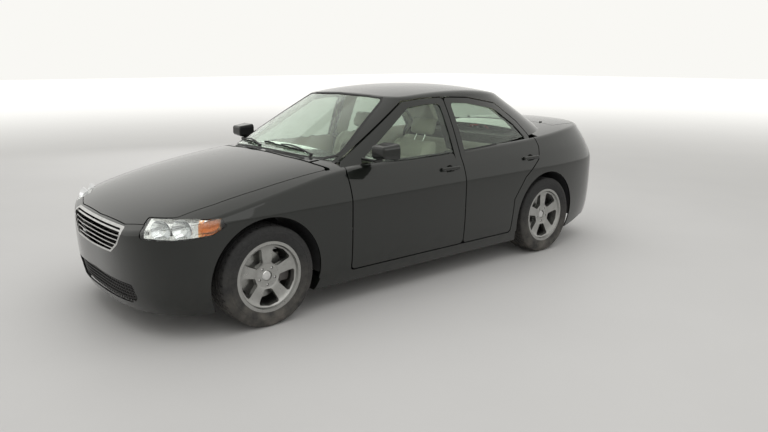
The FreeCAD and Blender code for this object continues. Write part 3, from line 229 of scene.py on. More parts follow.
def inner_side_group():
    """1 on surfaces that face the middle of the cabin, 0 on outer ones."""
    tree, ins, outs = new_group("inner_side", [
        ("Middle", "Vector", (0, 0, 0.9)), ("Flatten", "Vector", (0.15, 1, 1)),
    ], [("Mask", "Float")])
    place = add(tree, "TexCoord")
    inwards = add(tree, "VectorMath", {}, {0: ins.outputs["Middle"], 1: place.outputs["Object"]},
                  operation="SUBTRACT")
    flat = add(tree, "VectorMath", {}, {0: inwards.outputs["Vector"], 1: ins.outputs["Flatten"]},
               operation="MULTIPLY")
    unit = add(tree, "VectorMath", {}, {0: flat.outputs["Vector"]}, operation="NORMALIZE")
    facing = add(tree, "VectorMath", {}, {0: unit.outputs["Vector"], 1: place.outputs["Normal"]},
                 operation="DOT_PRODUCT")
    step = add(tree, "Math", {1: 0.45}, {0: facing.outputs["Value"]}, operation="GREATER_THAN")
    tree.links.new(step.outputs["Value"], outs.inputs["Mask"])
    return tree


groups = {
    "mottle": mottle_group(), "uneven": uneven_group(), "grain": grain_group(), "weave": weave_group(),
    "road_dust": road_dust_group(), "inner_side": inner_side_group(),
}


def effect(tree, name, **values):
    """One of the shared groups, placed with its own values."""
    made = tree.nodes.new("ShaderNodeGroup")
    made.node_tree = groups[name]
    for key, value in values.items():
        if hasattr(value, "is_output"):
            tree.links.new(value, made.inputs[key])
        else:
            made.inputs[key].default_value = value
    return made


def finish(name, **values):
    """A new material with values set on its shader's own sockets."""
    made = bpy.data.materials.new(name)
    made.use_nodes = True
    shader = made.node_tree.nodes["Principled BSDF"]
    for key, value in values.items():
        shader.inputs[key.replace("_", " ")].default_value = value
    return made, made.node_tree, shader


def blend_values(tree, mask, first, second):
    """The first value where the mask is 0 and the second where it is 1."""
    made = add(tree, "MapRange", {"To Min": first, "To Max": second}, {"Value": mask})
    return made.outputs["Result"]


def roughen(tree, shader, low, high, scale):
    """Roughness that wanders between two values."""
    rough = effect(tree, "uneven", Low=low, High=high, Scale=scale)
    tree.links.new(rough.outputs["Value"], shader.inputs["Roughness"])


def emboss(tree, shader, scale, depth):
    """Fine grain in a shader's relief."""
    grain = effect(tree, "grain", Scale=scale, Depth=depth)
    tree.links.new(grain.outputs["Normal"], shader.inputs["Normal"])


# Finishes

def paint(name, inside_colour, inside_rough):
    """Metallic paint under clear lacquer, with another finish on the side that faces the cabin."""
    made, tree, shader = finish(name, Coat_Roughness=0.04, Specular_IOR_Level=0.2)
    tone = effect(tree, "mottle", First=paint_colour, Second=paint_shift, Scale=900.0)
    dusty = effect(tree, "road_dust", Color=tone.outputs["Color"], Amount=0.07, Reach=0.42)
    inner = effect(tree, "inner_side", Middle=(wheelbase_middle, 0, 0.92))
    mask = inner.outputs["Mask"]
    colour = blend_colours(tree, mask, dusty.outputs["Color"], inside_colour)
    tree.links.new(colour, shader.inputs["Base Color"])
    rough = effect(tree, "uneven", Low=0.30, High=0.36, Scale=300.0)
    mixed = add(tree, "Mix", {3: inside_rough}, {0: mask, 2: rough.outputs["Value"]})
    tree.links.new(mixed.outputs[0], shader.inputs["Roughness"])
    tree.links.new(blend_values(tree, mask, 0.35, 0.0), shader.inputs["Metallic"])
    tree.links.new(blend_values(tree, mask, 1.0, 0.0), shader.inputs["Coat Weight"])
    return made


def plastic(name, colour, low=0.45, high=0.62, scale=700.0, depth=0.0002, dust=0.0):
    """Moulded plastic with a fine grain."""
    made, tree, shader = finish(name)
    tone = effect(tree, "mottle", First=colour, Second=shaded(colour, 1.25), Scale=35.0)
    dusty = effect(tree, "road_dust", Color=tone.outputs["Color"], Amount=dust)
    tree.links.new(dusty.outputs["Color"], shader.inputs["Base Color"])
    roughen(tree, shader, low, high, 80.0)
    emboss(tree, shader, scale, depth)
    return made


def metal(name, colour, low, high, metallic=1.0, dust=0.0, depth=0.00005, scale=500.0):
    """Bare or lacquered metal."""
    made, tree, shader = finish(name, Metallic=metallic)
    darker = shaded(colour, 0.82)
    tone = effect(tree, "mottle", First=colour, Second=darker, Scale=18.0)
    dusty = effect(tree, "road_dust", Color=tone.outputs["Color"], Amount=dust, Reach=0.7)
    tree.links.new(dusty.outputs["Color"], shader.inputs["Base Color"])
    roughen(tree, shader, low, high, 45.0)
    emboss(tree, shader, scale, depth)
    return made


def wheel_finish():
    """Silver lacquer on the wheel, bare iron on the brake disc behind it."""
    made, tree, shader = finish("wheel_silver", Metallic=0.85, Coat_Roughness=0.05)
    place = add(tree, "TexCoord").outputs["Object"]
    split = add(tree, "SeparateXYZ", {}, {"Vector": place})
    across = add(tree, "Math", {}, {0: split.outputs["Y"]}, operation="ABSOLUTE")
    plane = middle("front_rim_left").y - size("front_rim_left").y * 0.02
    inner = add(tree, "Math", {1: plane}, {0: across.outputs["Value"]}, operation="LESS_THAN")
    tone = effect(tree, "mottle", First=alloy_colour, Second=(0.32, 0.32, 0.305, 1), Scale=30.0)
    colour = blend_colours(tree, inner.outputs["Value"], tone.outputs["Color"], iron_colour)
    tree.links.new(colour, shader.inputs["Base Color"])
    roughen(tree, shader, 0.26, 0.38, 60.0)
    tree.links.new(blend_values(tree, inner.outputs["Value"], 0.8, 0.0), shader.inputs["Coat Weight"])
    return made


def glass(name, tint, rough=0.0):
    """Clear or tinted glass with a faint film of dust, which lets light through to what lies behind it."""
    made, tree, shader = finish(name, Transmission_Weight=1.0, IOR=1.45)
    path = add(tree, "LightPath")
    solid = add(tree, "MapRange", {"To Min": 1.0, "To Max": 0.05}, {"Value": path.outputs["Is Shadow Ray"]})
    tree.links.new(solid.outputs["Result"], shader.inputs["Alpha"])
    tone = effect(tree, "mottle", First=tint, Second=shaded(tint, 0.97), Scale=6.0)
    tree.links.new(tone.outputs["Color"], shader.inputs["Base Color"])
    film = effect(tree, "uneven", Low=rough, High=rough + 0.015, Scale=25.0)
    tree.links.new(film.outputs["Value"], shader.inputs["Roughness"])
    return made


def ribbed_glass(name, tint, ribs=260.0, depth=0.0012):
    """Lamp glass with upright flutes."""
    full_turn = 6.283
    made, tree, shader = finish(name, Transmission_Weight=1.0, IOR=1.45)
    tone = effect(tree, "mottle", First=tint, Second=shaded(tint, 0.95), Scale=12.0)
    tree.links.new(tone.outputs["Color"], shader.inputs["Base Color"])
    roughen(tree, shader, 0.02, 0.06, 90.0)
    place = add(tree, "TexCoord").outputs["Object"]
    flutes = add(tree, "TexWave", {"Scale": ribs / full_turn, "Distortion": 0.0}, {"Vector": place},
                 bands_direction="Y")
    bump = add(tree, "Bump", {"Strength": 0.35, "Distance": depth}, {"Height": flutes.outputs["Fac"]})
    tree.links.new(bump.outputs["Normal"], shader.inputs["Normal"])
    return made


def cloth(name, first, second, threads=700.0):
    """Woven seat cloth, with painted shade in the low parts of its weave."""
    made, tree, shader = finish(name, Sheen_Weight=0.25, Sheen_Roughness=0.4)
    weave = effect(tree, "weave", Threads=threads, Depth=0.0004)
    tone = effect(tree, "mottle", First=first, Second=second, Scale=24.0)
    # painted shade: a darker copy of the second colour where the weave's relief lies low
    painted_hollow_shade = shaded(second, 0.72)
    colour = blend_colours(tree, weave.outputs["Mask"], painted_hollow_shade, tone.outputs["Color"])
    tree.links.new(colour, shader.inputs["Base Color"])
    roughen(tree, shader, 0.78, 0.92, 60.0)
    tree.links.new(weave.outputs["Normal"], shader.inputs["Normal"])
    return made


finishes = {
    "body_paint": paint("body_paint", black_colour, 0.6),
    "door_paint": paint("door_paint", cabin_colour, 0.8),
    "roof_paint": paint("roof_paint", cabin_colour, 0.9),
    "black_trim": plastic("black_trim", black_colour, 0.35, 0.5, 900.0, 0.0001, 0.2),
    "lower_plastic": plastic("lower_plastic", grey_plastic, dust=0.5),
    "seal_rubber": plastic("seal_rubber", rubber_colour, 0.6, 0.75, 1200.0, 0.0001),
    "tyre_rubber": plastic("tyre_rubber", rubber_colour, 0.72, 0.9, 1100.0, 0.0003, 0.55),
    "dash_plastic": plastic("dash_plastic", (0.16, 0.15, 0.13, 1), 0.55, 0.7, 800.0, 0.0003),
    "cabin_plastic": plastic("cabin_plastic", cabin_shade, 0.55, 0.7, 800.0, 0.0003),
    "wheel_silver": wheel_finish(),
    "bright_metal": metal("bright_metal", (0.75, 0.75, 0.74, 1), 0.08, 0.16),
    "dark_iron": metal("dark_iron", cast_colour, 0.5, 0.75, 0.6, 0.5, 0.0004, 220.0),
    "exhaust_steel": metal("exhaust_steel", steel_colour, 0.3, 0.5, 1.0, 0.5),
    "engine_alloy": metal("engine_alloy", (0.35, 0.35, 0.34, 1), 0.4, 0.6, 0.8, 0.2, 0.0004, 160.0),
    "caliper_iron": metal("caliper_iron", (0.16, 0.15, 0.15, 1), 0.45, 0.65, 0.7, 0.4, 0.0003, 250.0),
    "window_glass": glass("window_glass", glass_tint),
    "mirror_silver": metal("mirror_silver", (0.88, 0.89, 0.9, 1), 0.01, 0.03, depth=0.0),
    "headlamp_glass": glass("headlamp_glass", clear_tint, 0.005),
    "amber_glass": ribbed_glass("amber_glass", amber_colour),
    "bulb_glass": glass("bulb_glass", clear_tint, 0.02),
    "lamp_silver": metal("lamp_silver", lamp_colour, 0.18, 0.30, 0.9, depth=0.00002),
    "mark_white": plastic("mark_white", paper_white, 0.5, 0.6),
    "piping": plastic("piping", shaded(cabin_shade, 0.8), 0.6, 0.75, 900.0, 0.0001),
    "red_glass": ribbed_glass("red_glass", red_colour),
    "seat_cloth": cloth("seat_cloth", cabin_colour, cabin_shade),
    "carpet": cloth("carpet", carpet_colour, shaded(carpet_colour, 0.8), 300.0),
}

cad_finishes = {
    "body_paint": ["rear_body", "bonnet", "boot_lid", "front_bumper", "rear_bumper", "cowl"]
                  + both("front_fender", "door_mirror", "side_frame"),
    "door_paint": both("front_door", "rear_door"),
    "roof_paint": ["roof_and_pillars"],
    "window_glass": ["windscreen", "rear_window"] + both("front_door_glass", "rear_door_glass"),
    "headlamp_glass": ["headlamps"],
    "red_glass": ["tail_lamps"],
    "bright_metal": ["grille"],
    "lower_plastic": ["wheel_liners"],
    "dash_plastic": ["dashboard", "steering_wheel"],
    "carpet": ["floor_pan"],
    "seat_cloth": ["rear_seat"] + both("front_seat"),
    "dark_iron": ["front_subframe", "rear_axle", "springs", "front_structure"],
    "engine_alloy": ["engine_block"],
    "exhaust_steel": ["exhaust"],
    "caliper_iron": both("steering_knuckle"),
    "wheel_silver": both("front_rim", "rear_rim"),
    "tyre_rubber": both("front_tyre", "rear_tyre"),
}

for finish_name, dressed in cad_finishes.items():
    for node_name in dressed:
        slots = nodes[node_name].data.materials
        slots.clear()
        slots.append(finishes[finish_name])


# Making pieces

def new_object(name, data):
    made = bpy.data.objects.new(name, data)
    bpy.context.scene.collection.objects.link(made)
    return made


def new_mesh(name, shape):
    points, faces = shape
    mesh = bpy.data.meshes.new(name)
    mesh.from_pydata([tuple(p) for p in points], [], faces)
    return mesh


def piece(name, shape, body, finish_name, smooth=True, sharp=35):
    """A mesh piece from its points and faces, riding on a body."""
    mesh = new_mesh(name, shape)
    mesh.validate()
    mesh.materials.append(finishes[finish_name])
    mesh.polygons.foreach_set("use_smooth", [smooth] * len(mesh.polygons))
    mesh.set_sharp_from_angle(angle=math.radians(sharp))
    made = new_object(name, mesh)
    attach(made, body)
    return made


def both_sides(name, shape, finish_name, carrier=None):
    """A piece of the left side and its mirrored copy, each on its own side's carrier."""
    for hand, made in (("left", shape), ("right", flipped(shape))):
        body = body_of_node[carrier + "_" + hand] if carrier else "body"
        piece(name + "_" + hand, made, body, finish_name)


def together(shapes):
    """One shape from several."""
    points = []
    faces = []
    for more_points, more_faces in shapes:
        start = len(points)
        points += list(more_points)
        faces += [tuple(i + start for i in face) for face in more_faces]
    return points, faces


def moved(shape, matrix):
    return [matrix @ Vector(p) for p in shape[0]], shape[1]


def flipped(shape):
    """The shape on the car's other side."""
    return [Vector((p[0], -p[1], p[2])) for p in shape[0]], [tuple(reversed(face)) for face in shape[1]]


def grid(rows, closed_rows=False, closed_columns=False):
    """A skin over rows of points."""
    count = len(rows[0])
    points = [p for row in rows for p in row]
    faces = []
    for i in range(len(rows) if closed_rows else len(rows) - 1):
        for j in range(count if closed_columns else count - 1):
            a = i * count + j
            b = i * count + (j + 1) % count
            c = ((i + 1) % len(rows)) * count
            faces.append((a, b, c + (j + 1) % count, c + j))
    return points, faces


def capped_grid(rows):
    """A closed skin over rings of points, with its two ends filled."""
    points, faces = grid(rows, closed_columns=True)
    count = len(rows[0])
    faces.append(tuple(reversed(range(count))))
    faces.append(tuple(range(len(points) - count, len(points))))
    return points, faces


def swept(path, section, up=Vector((0, 0, 1))):
    """A closed section carried along a path of points, with filled ends."""
    rows = []
    for i, point in enumerate(path):
        ahead = path[min(i + 1, len(path) - 1)] - path[max(i - 1, 0)]
        across = ahead.cross(up).normalized()
        rise = across.cross(ahead).normalized()
        rows.append([point + across * a + rise * b for a, b in section])
    return capped_grid(rows)


def oval(width, height, steps=10):
    """A rounded section."""
    turn = [2 * math.pi * i / steps for i in range(steps)]
    return [(math.cos(t) * width / 2, math.sin(t) * height / 2) for t in turn]


def skin_of(mesh):
    """A tree that rays can be cast on."""
    return BVHTree.FromPolygons([v.co for v in mesh.vertices], [p.vertices for p in mesh.polygons])


def surface_of(node):
    """The skin of a CAD node at rest."""
    return skin_of(nodes[node].data)


def seen_from(tree, origin, direction):
    """Where a ray meets a surface, and the normal there."""
    hit, normal, _, _ = tree.ray_cast(Vector(origin), Vector(direction).normalized())
    return hit, normal


# Wheels

def tyre_shape(outer, bead, half, blocks=42):
    """Tyre about the Y axis: sides with raised rings, grooves round the tread and blocks across it."""
    wall = outer - bead
    groove = 0.0065
    side_points = [
        (0.0, 0.775), (0.07, 0.83), (0.12, 0.915), (0.28, 0.972), (0.42, 0.995), (0.50, 1.0),
        (0.51, 0.986), (0.55, 0.986), (0.56, 0.997), (0.66, 0.985), (0.67, 0.972), (0.71, 0.966),
        (0.72, 0.972), (0.84, 0.93), (0.93, 0.87), (0.975, 0.82),
    ]
    near = [(bead + wall * r, half * y, 0) for r, y in side_points]
    tread = [(outer - 0.001, 0.78, 1), (outer, 0.72, 1), (outer, 0.53, 1)]
    for centre, after in ((0.47, 0.30), (0.17, 0.0), (-0.17, -0.30), (-0.47, -0.53)):
        tread += [(outer, centre + 0.035, 0), (outer - groove, centre + 0.028, 0),
                  (outer - groove, centre - 0.028, 0), (outer, centre - 0.035, 0)]
        tread.append((outer, after, 2 if abs(after) < 0.5 else 1))
    tread += [(outer, -0.72, 1), (outer - 0.001, -0.78, 1)]
    tread = [(r, y * half, kind) for r, y, kind in tread]
    profile = near + tread + [(r, -y, kind) for r, y, kind in reversed(near)]
    rows = []
    for block in range(blocks):
        for phase in (0.0, 0.03, 0.15, 0.18, 0.5, 0.53, 0.65, 0.68):
            angle = 2 * math.pi * (block + phase) / blocks
            row = []
            for r, y, kind in profile:
                cut = (kind == 1 and phase in (0.03, 0.15)) or (kind == 2 and phase in (0.53, 0.65))
                reach = r - groove * 0.8 if cut else r
                row.append(Vector((reach * math.cos(angle), y, reach * math.sin(angle))))
            rows.append(row)
    return grid(rows, closed_rows=True, closed_columns=True)


def closed_turn(profile, steps=40):
    """A body of revolution about the Y axis from a closed (radius, y) profile."""
    rows = []
    for i in range(steps):
        angle = 2 * math.pi * i / steps
        rows.append([Vector((r * math.cos(angle), y, r * math.sin(angle))) for r, y in profile])
    return grid(rows, closed_rows=True, closed_columns=True)


def bolt_head(radius, length):
    """Six-sided head with a chamfered end, along +Y."""
    rows = []
    for share, y in ((0.96, 0.0), (1.0, 0.001), (1.0, length - 0.0015), (0.82, length)):
        rows.append([Vector((math.cos(t) * radius * share, y, math.sin(t) * radius * share))
                     for t in [math.pi / 3 * k for k in range(6)]])
    return capped_grid(rows)


def wheel_trim(half):
    """Hub cap and five bolts of a wheel, on its outer face towards +Y."""
    floor = half * 0.56
    cap = closed_turn([(r, floor + y) for r, y in (
        (0.0005, 0.0085), (0.014, 0.008), (0.024, 0.0062), (0.0245, 0.0052),
        (0.026, 0.0055), (0.0315, 0.003), (0.0328, 0), (0.0005, 0))])
    pieces = [cap]
    circle = 0.057
    for i in range(5):
        angle = math.radians(72 * i - 90)
        place = Matrix.Translation((math.cos(angle) * circle, half * 0.5, math.sin(angle) * circle))
        pieces.append(moved(bolt_head(0.0078, 0.0125), place))
    return together(pieces)


def valve_shape(half):
    """Tyre valve with its cap, near the rim's edge."""
    stem = closed_turn([
        (0.0002, 0.0), (0.0042, 0.0), (0.0042, 0.008), (0.0030, 0.0095), (0.0030, 0.016), (0.0040, 0.017),
        (0.0040, 0.026), (0.0032, 0.0275), (0.0002, 0.0275)], 12)
    tilt = Matrix.Rotation(math.radians(-20), 4, "Z")
    place = Matrix.Rotation(math.radians(-54), 4, "Y") @ Matrix.Translation((0.187, half * 0.52, 0))
    return moved(stem, place @ tilt)


def wheels():
    """Treaded tyre, cap with bolts, and valve of each wheel."""
    for end in ("front", "rear"):
        for hand, sign in (("left", 1), ("right", -1)):
            node = end + "_tyre_" + hand
            rim = end + "_rim_" + hand
            body = body_of_node[node]
            turn = Matrix.Rotation(0 if sign > 0 else math.pi, 4, "Z")
            place = Matrix.Translation(middle(node)) @ turn
            outer = size(node).z / 2
            shape = tyre_shape(outer, size(rim).z / 2 - 0.012, size(node).y / 2)
            tyre = piece(end + "_tread_tyre_" + hand, moved(shape, place), body, "tyre_rubber")
            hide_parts(node)
            half = size(rim).y / 2
            piece(end + "_wheel_bolts_" + hand, moved(wheel_trim(half), place), body, "bright_metal")
            valve = moved(valve_shape(half), place)
            piece(end + "_valve_" + hand, valve, body, "seal_rubber")


# Lamps

def thick(rows, shift):
    """A plate of even thickness: the rows, the same rows shifted, and the edge between them."""
    back = [[p + shift for p in row] for row in rows]
    points, faces = grid(rows)
    count = len(points)
    width = len(rows[0])
    points += [p for row in back for p in row]
    faces += [tuple(i + count for i in reversed(face)) for face in list(faces)]
    rim = list(range(width)) + [(i + 1) * width - 1 for i in range(1, len(rows))]
    rim += list(range(count - 2, count - width - 1, -1)) + [i * width for i in range(len(rows) - 2, 0, -1)]
    for a, b in zip(rim, rim[1:] + rim[:1]):
        faces.append((b, a, a + count, b + count))
    return points, faces


def lens_face(node, heading, columns, rows, hand, inset=0.06):
    """Points on a lens's outer face, in columns across it and rows up it, as seen along a heading."""
    tree = surface_of(node)
    ahead = Vector((math.cos(heading), math.sin(heading), 0))
    across = Vector((-math.sin(heading), math.cos(heading), 0))
    corners = [v.co for v in nodes[node].data.vertices if v.co.y * hand > 0]
    start = min(c.dot(across) for c in corners)
    end = max(c.dot(across) for c in corners)
    base = min(c.z for c in corners)
    top = max(c.z for c in corners)
    made = []
    for i in range(columns):
        place = across * (start + (end - start) * (inset + (1 - 2 * inset) * i / (columns - 1)))
        hits = []
        for k in range(81):
            height = base + (top - base) * k / 80
            hit, _ = seen_from(tree, place + ahead * 6 + Vector((0, 0, height)), -ahead)
            if hit and hit.y * hand > 0:
                hits.append(hit.z)
        if len(hits) < 3:
            continue
        low = min(hits)
        high = max(hits)
        column = []
        for k in range(rows):
            height = low + (high - low) * (0.04 + 0.92 * k / (rows - 1))
            hit, _ = seen_from(tree, place + ahead * 6 + Vector((0, 0, height)), -ahead)
            column.append(hit if hit else column[-1])
        made.append(column)
    return made, ahead


def bowl(radius, depth, steps=28):
    """Open reflector about the Y axis, its mouth at y = 0 and its bottom at -depth."""
    outer = [(radius * k / 8, depth * ((k / 8) ** 2 - 1)) for k in range(1, 9)]
    inner = [(r + 0.0012, y - 0.0012) for r, y in reversed(outer)]
    return closed_turn([(0.004, -depth)] + outer + inner + [(0.004, -depth - 0.0012)], steps)


def bulb_shape():
    """Glass bulb on a metal base, along +Y."""
    return closed_turn([
        (0.0002, 0.0), (0.007, 0.0), (0.007, 0.006), (0.0055, 0.007), (0.0055, 0.020), (0.004, 0.024),
        (0.0002, 0.0255)], 16)


def towards(point, heading):
    """Placement that turns +Y towards a heading at a point."""
    return Matrix.Translation(point) @ Matrix.Rotation(heading - math.pi / 2, 4, "Z")


def headlamp_inside():
    """Housing, reflectors, bulbs and amber corner behind the left headlamp's glass."""
    heading = math.radians(40)
    columns, ahead = lens_face("headlamps", heading, 25, 9, 1)
    last = len(columns) - 1
    housing = []
    for i, column in enumerate(columns):
        u = 2 * i / last - 1
        row = []
        for k, point in enumerate(column):
            v = 2 * k / (len(column) - 1) - 1
            well = math.sqrt(max(0.0, (1 - u ** 6) * (1 - v ** 4)))
            row.append(point - ahead * (0.0125 + 0.055 * well))
        housing.append(row)
    shapes = {"housing": thick(housing, -ahead * 0.002)}
    height = (columns[last // 2][-1] - columns[last // 2][0]).length
    dishes = []
    bulbs = []
    for share in (0.27, 0.56):
        point = columns[round(last * share)][4] - ahead * 0.020
        dishes.append(moved(bowl(height * 0.47, height * 0.36), towards(point, heading)))
        bulbs.append(moved(bulb_shape(), towards(point - ahead * height * 0.33, heading)))
    shapes["reflectors"] = together(dishes)
    shapes["bulbs"] = together(bulbs)
    corner = [[p - ahead * 0.0105 for p in column] for column in columns[round(last * 0.74):]]
    shapes["indicator"] = thick(corner, -ahead * 0.0025)
    return shapes


def lamps():
    """Insides of both headlamps, and a reflector behind each tail lamp's glass."""
    looks = {
        "housing": "lamp_silver", "reflectors": "mirror_silver",
        "bulbs": "bulb_glass", "indicator": "amber_glass",
    }
    for part, shape in headlamp_inside().items():
        both_sides("headlamp_" + part, shape, looks[part])
    columns, ahead = lens_face("tail_lamps", math.radians(180), 15, 7, 1)
    plate = [[p - ahead * 0.0125 for p in column] for column in columns]
    both_sides("tail_lamp_reflector", thick(plate, -ahead * 0.002), "lamp_silver")


# Seals, wipers and mirrors

def ribbon(points, normals, section, closed=True):
    """A closed section carried along points on a surface, upright on its normals."""
    rows = []
    count = len(points)
    for i, point in enumerate(points):
        after = (i + 1) % count if closed else min(i + 1, count - 1)
        before = i - 1 if closed else max(i - 1, 0)
        ahead = points[after] - points[before]
        across = ahead.cross(normals[i]).normalized()
        rise = across.cross(ahead).normalized()
        if rise.dot(normals[i]) < 0:
            rise = -rise
        rows.append([point + across * a + rise * b for a, b in section])
    return grid(rows, closed_rows=True, closed_columns=True) if closed else capped_grid(rows)


def glass_edge(node, from_ahead, steps=120):
    """Points and normals round a screen's edge, seen along the car."""
    tree = surface_of(node)
    direction = Vector((-1 if from_ahead else 1, 0, 0))
    far = 5 if from_ahead else -5
    centre = middle(node)
    points = []
    normals = []
    for i in range(steps):
        angle = 2 * math.pi * i / steps
        near, out = 0.0, 1.2
        best = None
        for _ in range(14):
            reach = (near + out) / 2
            spot = Vector((far, math.cos(angle) * reach, centre.z + math.sin(angle) * reach))
            hit, normal = seen_from(tree, spot, direction)
            if hit:
                near = reach
                best = (hit, normal if normal.x * direction.x < 0 else -normal)
            else:
                out = reach
        if best:
            points.append(best[0])
            normals.append(best[1])
    return points, normals


def smoothed(points, closed=True):
    """Each point moved to the mean of itself and its neighbours."""
    count = len(points)
    made = []
    for i in range(count):
        if closed or 0 < i < count - 1:
            made.append((points[i - 1] + points[i] * 2 + points[(i + 1) % count]) / 4)
        else:
            made.append(points[i])
    return made


def rounded_box(width, height, corner=0.3, steps=3):
    """Rounded rectangular section."""
    a = width / 2
    b = height / 2
    r = min(a, b) * 2 * corner
    made = []
    for cx, cy, start in ((a - r, b - r, 0), (r - a, b - r, 90), (r - a, r - b, 180), (a - r, r - b, 270)):
        for k in range(steps + 1):
            t = math.radians(start + 90 * k / steps)
            made.append((cx + math.cos(t) * r, cy + math.sin(t) * r))
    return made


def belt_strip(door, glass_node):
    """Rubber strip along the foot of a door's window."""
    skin = surface_of(door)
    pane = surface_of(glass_node)
    low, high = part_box(glass_node)
    points = []
    steps = 30
    for i in range(steps + 1):
        x = high.x - 0.012 - (high.x - low.x - 0.03) * i / steps
        hit = None
        for z in (1.0, 1.02, 1.04, 1.06, 1.08):
            hit, _ = seen_from(pane, (x, 3, z), (0, -1, 0))
            if hit:
                break
        if not hit:
            continue
        found, _ = seen_from(skin, (x, hit.y + 0.010, hit.z + 0.03), (0, 0, -1))
        if found:
            points.append(found)
    points = smoothed(smoothed(points, False), False)
    normals = [Vector((0, 0.35, 1)).normalized()] * len(points)
    return ribbon(points, normals, rounded_box(0.016, 0.011), closed=False)


def seals():
    """Strips round both screens and along the foot of each door's window."""
    for node, ahead in (("windscreen", True), ("rear_window", False)):
        points, normals = glass_edge(node, ahead)
        strip = ribbon(smoothed(points), smoothed(normals), rounded_box(0.022, 0.007))
        piece(node + "_seal", strip, "body", "seal_rubber")
    for end in ("front", "rear"):
        strip = belt_strip(end + "_door_left", end + "_door_glass_left")
        both_sides(end + "_belt_strip", strip, "seal_rubber", end + "_door")


def wiper(pane, pivot_y, tip_y, lift):
    """A wiper parked along the foot of the windscreen: its arm and its blade."""

    def on_glass(y, extra):
        for k in range(60):
            z = 0.93 + 0.004 * k
            hit, normal = seen_from(pane, (5, y, z), (-1, 0, 0))
            if hit:
                hit, normal = seen_from(pane, (5, y, z + extra), (-1, 0, 0))
                return hit, normal if normal.x > 0 else -normal
        return None

    steps = 16
    blade_points = []
    blade_normals = []
    for i in range(steps + 1):
        y = pivot_y + (tip_y - pivot_y) * (0.12 + 0.88 * i / steps)
        found = on_glass(y, lift + 0.012 * i / steps)
        blade_points.append(found[0] + found[1] * 0.008)
        blade_normals.append(found[1])
    blade = ribbon(blade_points, blade_normals, rounded_box(0.007, 0.013), closed=False)
    root, root_normal = on_glass(pivot_y, 0.0)
    root = root + Vector((-0.024, 0, 0.016))
    goal = blade_points[steps // 2] + blade_normals[steps // 2] * 0.014
    bow = Vector((0.2, 0, 1)).normalized() * 0.020
    arm_points = [root + (goal - root) * t + bow * math.sin(math.pi * t) for t in [k / 10 for k in range(11)]]
    arm = ribbon(arm_points, [root_normal] * 11, rounded_box(0.012, 0.006), closed=False)
    boss = closed_turn([(0.0003, 0.010), (0.010, 0.009), (0.013, 0.004), (0.013, -0.02), (0.0003, -0.02)], 20)
    stand = Matrix.Translation(root) @ Matrix.Rotation(math.radians(80), 4, "X")
    return together([arm, moved(boss, stand)]), blade


def wipers():
    """Two wipers parked side by side."""
    pane = surface_of("windscreen")
    lift = 0.020
    for name, pivot_y, tip_y in (("left", 0.50, -0.08), ("right", -0.10, -0.60)):
        arm, blade = wiper(pane, pivot_y, tip_y, lift)
        piece("wiper_arm_" + name, arm, "body", "black_trim")
        piece("wiper_blade_" + name, blade, "body", "seal_rubber")


def mirror_glass():
    """Curved glass in the rear face of each door mirror."""
    low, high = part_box("door_mirror_left")
    head_width, head_height, rim = 0.190, 0.122, 0.018
    width, height = head_width - rim, head_height - rim
    centre = Vector((low.x + 0.0035, high.y - head_width / 2, high.z - head_height / 2))
    rows = []
    for k in range(9):
        share = k / 8
        rows.append([Vector((-0.0016 * (1 - share ** 2), a * share, b * share)) + centre
                     for a, b in rounded_box(width, height, 0.28, 6)])
    points, faces = grid(rows[1:], closed_columns=True)
    faces.append(tuple(range(len(rows[0]))))
    back = [Vector((p.x + 0.003, p.y, p.z)) for p in rows[-1]]
    shape = together([(points, faces), grid([rows[-1], back], closed_columns=True)])
    both_sides("mirror_glass", shape, "mirror_silver", "door_mirror")


# Seats

cloth_frames = 20


def pad_shape(length, half, thickness, bolster=0.0, crown=0.012, steps=36):
    """A plain pad: length along X, width along Y, its upper face towards +Z, with raised sides."""
    rows = []
    for t in (0.0, 0.015, 0.05, 0.12, 0.22, 0.34, 0.5, 0.66, 0.78, 0.88, 0.95, 0.985, 1.0):
        edge = max(0.0, 1 - abs(2 * t - 1) ** 7)
        wide = half * (0.90 + 0.10 * edge ** 0.5)
        deep = thickness / 2 * (0.45 + 0.55 * edge ** 0.5)
        row = []
        for k in range(steps):
            angle = 2 * math.pi * k / steps
            c = math.cos(angle)
            s = math.sin(angle)
            y = math.copysign(abs(c) ** 0.45, c) * wide
            z = math.copysign(abs(s) ** 0.45, s) * deep
            if z > 0:
                out = min(1.0, max(0.0, (abs(y) / half - 0.52) / 0.26))
                z += bolster * out * out * (3 - 2 * out) * edge + crown * (1 - (y / half) ** 2) * edge
            row.append(Vector((length * t, y, z)))
        rows.append(row)
    return capped_grid(rows)


def evaluated_mesh(made):
    return bpy.data.meshes.new_from_object(made.evaluated_get(bpy.context.evaluated_depsgraph_get()))


def swap_mesh(made, mesh):
    old = made.data
    made.modifiers.clear()
    made.data = mesh
    bpy.data.meshes.remove(old)


def start_pad(name, shape, voxel):
    """A pad remeshed evenly and given cloth that is blown up from inside."""
    made = new_object(name, new_mesh(name, shape))
    remesh = made.modifiers.new("even", "REMESH")
    remesh.mode = "VOXEL"
    remesh.voxel_size = voxel
    swap_mesh(made, evaluated_mesh(made))
    cloth = made.modifiers.new("cloth", "CLOTH")
    cloth.settings.quality = 4
    cloth.settings.mass = 0.4
    cloth.settings.use_pressure = True
    cloth.settings.uniform_pressure_force = 4.0
    cloth.settings.bending_stiffness = 2.0
    cloth.settings.effector_weights.gravity = 0
    cloth.point_cache.frame_start = 1
    cloth.point_cache.frame_end = cloth_frames
    return made


